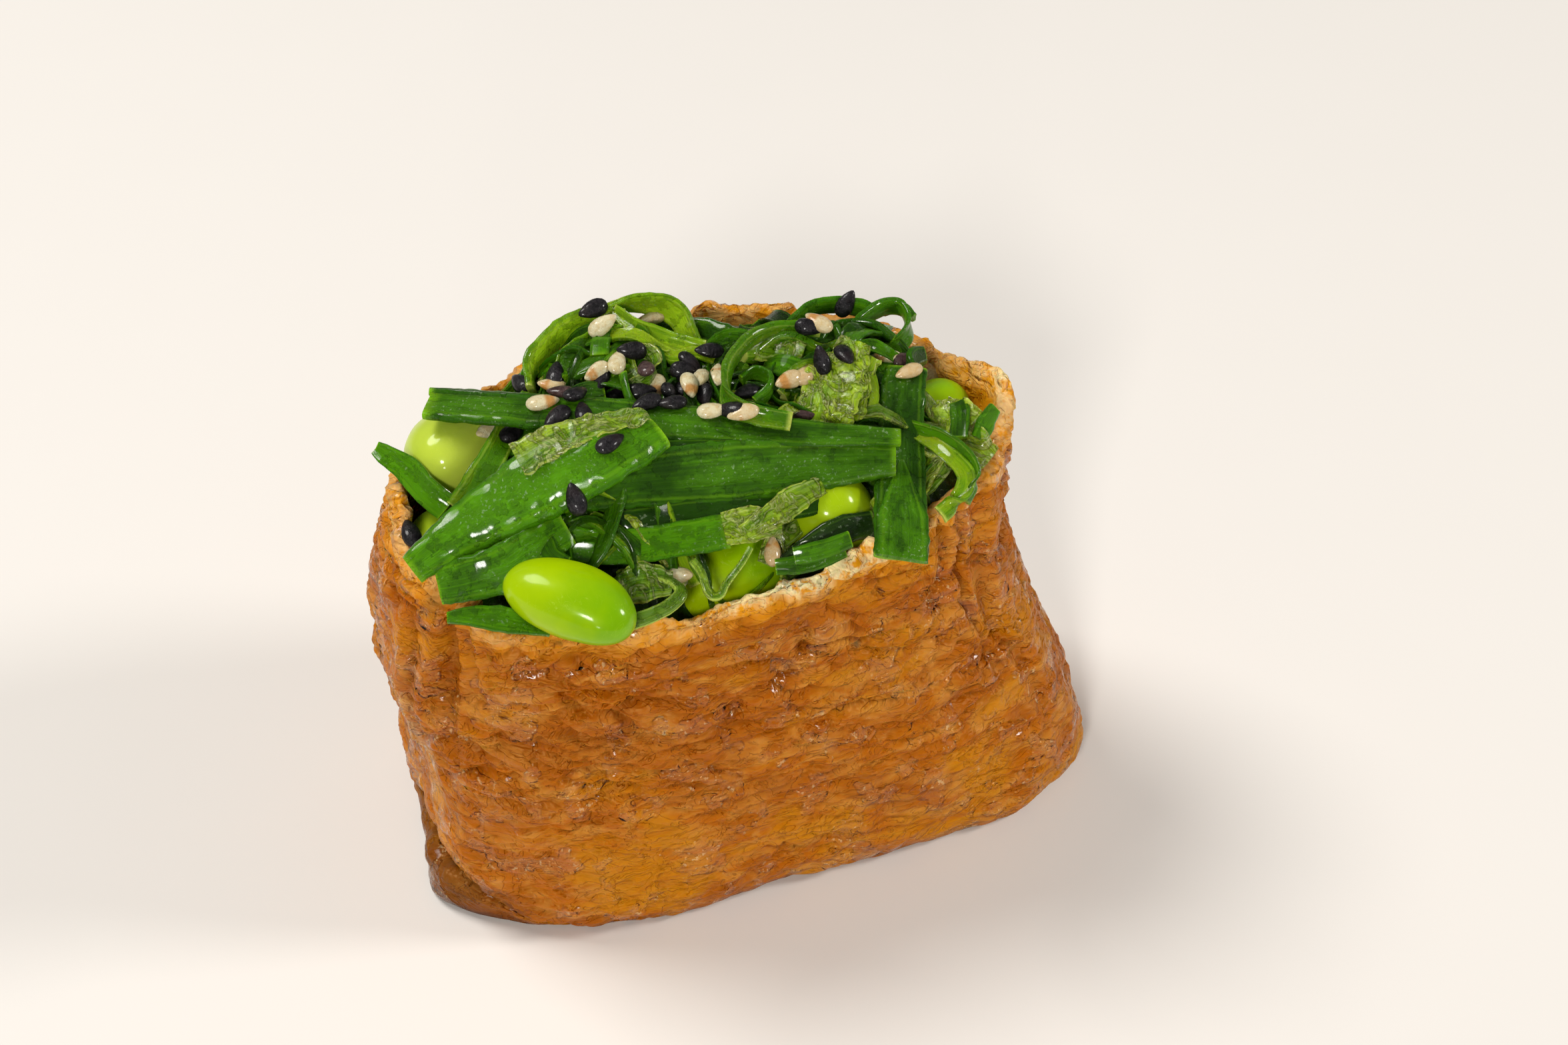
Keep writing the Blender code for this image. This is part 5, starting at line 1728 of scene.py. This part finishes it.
class Strewer:
    """Lays seeds on what has been built."""

    FALL = Vector((0.293, 0.713, -0.637))  # the slant along which the seeds came to lie
    USUAL_HEIGHT = 48.0
    ABOVE = 14.0  # how far up the slant each fall starts
    RAISED = 0.32  # how much of its thickness a seed's middle stands off what it lies on

    def __init__(self, pieces: Sequence[bpy.types.Object]) -> None:
        """Takes the surfaces that seeds may lie on, and builds the seeds' tree."""
        corners: list[Vector] = []
        faces: list[tuple[int, ...]] = []
        for piece in pieces:
            first = len(corners)
            corners += [vertex.co.copy() for vertex in piece.data.vertices]
            faces += [tuple(first + i for i in face.vertices) for face in piece.data.polygons]
        self.surface = BVHTree.FromPolygons(corners, faces)
        self.tree = self._seed_tree()

    @staticmethod
    def _seed_tree() -> Growth:
        """Builds the tree that puts a drop-shaped seed at each point."""
        inputs = {
            "Length": ("NodeSocketFloat", 0.0032),
            "Width": ("NodeSocketFloat", 0.0019),
            "Thickness": ("NodeSocketFloat", 0.0011),
            "Material": ("NodeSocketMaterial", None),
        }
        tree = Growth("seed_growth", inputs)
        ball = tree.node("GeometryNodeMeshUVSphere", values={"Segments": 12, "Rings": 9, "Radius": 1.0})
        z, y, x = tree.parts(tree.node("GeometryNodeInputPosition"))
        ball = tree.store(ball, "tip", x)
        slim = (1.0 - x * 0.13) * (1.0 - (x * 0.5 + 0.5) ** 4 * 0.3)
        place = tree.vector(
            (x * 0.5 + (x * x) * 0.04) * tree.given("Length"),
            y * slim * 0.5 * tree.given("Width"),
            z * slim * 0.5 * tree.given("Thickness"),
        )
        seed = tree.node("GeometryNodeSetPosition", values={"Geometry": ball, "Position": place})
        smooth = tree.node("GeometryNodeSetShadeSmooth", values={"Geometry": seed})
        values = {
            "Points": Wire(tree, tree.entry.outputs[0]),
            "Instance": smooth,
            "Rotation": tree.named("lie", "FLOAT_VECTOR"),
            "Scale": tree.named("grown"),
        }
        tree.close(tree.node("GeometryNodeInstanceOnPoints", values=values))
        return tree

    def strew(self, kind: Sesame, seed: int) -> bpy.types.Object:
        """Makes all seeds of one kind as one piece.

        Args:
            kind: The kind of seed.
            seed: Starts the random numbers for sizes and tilts.

        Returns:
            The piece.
        """
        draw = random.Random(seed)
        places, turns, sizes, shifts = [], [], [], []
        for x, y, spin, *high in kind.spots:
            z = high[0] if high else self.USUAL_HEIGHT
            start = Vector(metres((x, y, z))) - self.FALL * self.ABOVE * MM
            hit, normal, _, _ = self.surface.ray_cast(start, self.FALL)
            if hit is None:
                LOG.warning("a seed of %s found nothing to lie on", kind.name)
                continue
            if normal.dot(self.FALL) > 0.0:
                normal = -normal
            normal = (normal + Vector((0.0, 0.0, 0.6))).normalized()
            angle = math.radians(spin)
            tip = Vector((math.cos(angle), math.sin(angle), draw.uniform(-0.2, 0.2)))
            tip = (tip - normal * tip.dot(normal)).normalized()
            lie = Matrix((tip, normal.cross(tip), normal)).transposed()
            places.append(hit + normal * kind.thickness * self.RAISED * MM)
            turns.append(lie.to_euler())
            sizes.append(draw.uniform(0.9, 1.08))
            shifts.append(draw.random())
        mesh = bpy.data.meshes.new(kind.name + "_places")
        mesh.from_pydata(places, [], [])
        mesh.attributes.new("lie", "FLOAT_VECTOR", "POINT").data.foreach_set("vector", np.array(turns).ravel())
        for mark, values in (("grown", sizes), ("shift", shifts)):
            mesh.attributes.new(mark, "FLOAT", "POINT").data.foreach_set("value", values)
        given = {
            "Length": kind.length * MM,
            "Width": kind.width * MM,
            "Thickness": kind.thickness * MM,
            "Material": kind.finish.material(),
        }
        piece = self.tree.grow(kind.name, mesh, given)
        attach(piece, BODY)
        return piece


SEEDS = (
    Sesame(
        "sesame_black",
        SeedFinish(
            "sesame_husk_black", (0.004, 0.0035, 0.0045), (0.014, 0.011, 0.014), (0.012, 0.007, 0.008), 0.36, 0.45
        ),
        2.95, 1.75, 1.1,
        ((-7.4, 14.6, 200, 47.4), (-6.4, 6.7, 150), (0.1, 4.1, 170), (-14.4, 5.4, 60),
         (-17.8, 5.8, 100), (-10.6, 3.9, 240), (-13.5, 1.9, 40), (-16.0, -0.5, 210),
         (-13.7, -0.9, 80), (-10.0, 1.1, 10), (-8.0, 0.7, 350), (-7.8, -1.4, 190),
         (-5.6, -0.5, 330), (-4.4, -0.4, 120), (-5.7, -2.3, 170), (-2.3, 3.2, 300),
         (-3.1, 2.1, 320), (-2.5, -2.0, 230), (1.1, -3.0, 200), (-1.0, -5.1, 140),
         (9.3, -0.9, 60), (11.3, -1.0, 270), (15.7, 9.2, 50, 46.0), (9.9, 4.3, 330),
         (-11.5, -2.6, 20, 45.0), (-16.0, -6.3, 80, 43.0), (-30.2, -1.1, 90, 39.0), (-21.0, -1.0, 30)),
    ),
    Sesame(
        "sesame_brown",
        SeedFinish("sesame_husk_brown", (0.045, 0.022, 0.022), (0.09, 0.05, 0.045), (0.03, 0.012, 0.01), 0.4),
        2.5, 1.6, 0.95,
        ((-14.5, 2.7, 160), (16.3, -3.0, 20), (4.7, -7.5, 300), (-6.2, 3.3, 80)),
    ),
    Sesame(
        "sesame_white",
        SeedFinish("sesame_husk_white", (0.68, 0.62, 0.40), (0.62, 0.50, 0.26), (0.50, 0.21, 0.03), 0.26, 0.8, 0.4),
        2.9, 1.7, 1.05,
        ((-7.7, 11.1, 10), (-3.2, 10.7, 170), (-10.5, 4.9, 210), (-8.5, 5.2, 60),
         (-15.1, 4.2, 150), (-16.7, 1.9, 350), (-23.0, 0.3, 200), (-6.2, 0.9, 250),
         (-3.5, -0.1, 260), (-2.1, 0.5, 240), (-0.6, 0.4, 60), (-2.9, -4.5, 350),
         (-0.2, -5.7, 180), (5.3, -2.4, 200), (6.9, -2.3, 40), (11.0, 4.3, 120),
         (15.2, -2.3, 160), (16.2, -5.1, 190), (18.8, -4.9, 70), (-1.0, -14.6, 80, 39.0),
         (-9.9, -14.7, 0, 39.0)),
    ),
)


# -------------------------------------------------------------------------------------------- the studio


@dataclass(frozen=True)
class Lamp:
    """A soft area light that points at the food."""

    AIM: ClassVar[Vector] = Vector((0.0, 0.0, 0.03))
    name: str
    place: Triple
    size: float
    power: float
    colour: Colour = (1.0, 0.97, 0.93)

    def build(self) -> None:
        """Adds the light."""
        data = bpy.data.lights.new(self.name, "AREA")
        data.shape, data.size, data.energy, data.color = "DISK", self.size, self.power, self.colour
        lamp = placed(self.name, data)
        lamp.location = self.place
        lamp.rotation_euler = (self.AIM - Vector(self.place)).to_track_quat("-Z", "Y").to_euler()


@dataclass(frozen=True)
class Studio:
    """A pale floor, soft light from all sides, and the camera."""

    lens: float = 71.606
    place: Triple = (-0.08123, -0.20961, 0.21789)
    right: Triple = (0.92984, -0.36764, 0.01568)
    up: Triple = (0.22319, 0.59734, 0.7703)
    lamps: tuple[Lamp, ...] = (
        Lamp("lamp_window", (-0.35, 0.35, 0.75), 0.4, 5.2),
        Lamp("lamp_front", (-0.43, -0.65, 0.5), 0.16, 3.9),
        Lamp("lamp_right", (0.7, -0.25, 0.5), 0.2, 3.3),
        Lamp("lamp_low", (-0.35, -0.8, 0.2), 0.07, 0.5),
    )
    sky: float = 0.14
    sky_colour: Colour = (1.0, 0.985, 0.96)
    floor_half: float = 3.0

    def build_camera(self) -> None:
        """Adds the camera."""
        data = bpy.data.cameras.new("camera")
        data.lens, data.clip_start, data.clip_end = self.lens, 0.01, 20.0
        camera = placed("camera", data)
        right, up = Vector(self.right).normalized(), Vector(self.up)
        back = right.cross(up).normalized()
        up = back.cross(right)
        turn = Matrix((right, up, back)).transposed().to_4x4()
        camera.matrix_world = Matrix.Translation(self.place) @ turn
        bpy.context.scene.camera = camera

    def build_floor(self) -> None:
        """Adds the floor."""
        half = self.floor_half
        mesh = bpy.data.meshes.new("floor")
        corners = [(-half, -half, 0.0), (half, -half, 0.0), (half, half, 0.0), (-half, half, 0.0)]
        mesh.from_pydata(corners, [], [(0, 1, 2, 3)])
        mesh.materials.append(FloorFinish().material())
        floor = placed("floor", mesh)

    def build(self) -> None:
        """Adds everything that isn't part of the food."""
        self.build_camera()
        self.build_floor()
        for lamp in self.lamps:
            lamp.build()
        world = bpy.data.worlds.new("studio")
        world.use_nodes = True
        background = world.node_tree.nodes["Background"]
        background.inputs["Color"].default_value = (*self.sky_colour, 1.0)
        background.inputs["Strength"].default_value = self.sky
        bpy.context.scene.world = world
        bpy.context.scene.view_settings.view_transform = "Standard"


def report(pieces: Sequence[bpy.types.Object]) -> None:
    """Logs each piece's size."""
    for piece in pieces:
        count = sum(len(face.vertices) - 2 for face in piece.data.polygons)
        LOG.info("%s: %d triangles", piece.name, count)


def main() -> None:
    """Builds the food in order, then the studio."""
    logging.basicConfig(level=logging.INFO, format="%(name)s: %(message)s")
    shape = PouchShape()
    heap = Heap(shape)
    Studio().build()
    pieces = [PouchSkin(shape).build(TofuFinish().material()), heap.build(weed_material(Weed.DARK))]
    bean_skin = BeanFinish().material()
    pieces += [bean.build(bean_skin) for bean in BEANS]
    pieces += LooseStrips(heap, StripMaker()).build()
    strewer = Strewer(pieces)
    pieces += [strewer.strew(kind, number) for number, kind in enumerate(SEEDS)]
    report(pieces)


if __name__ == "__main__":
    main()
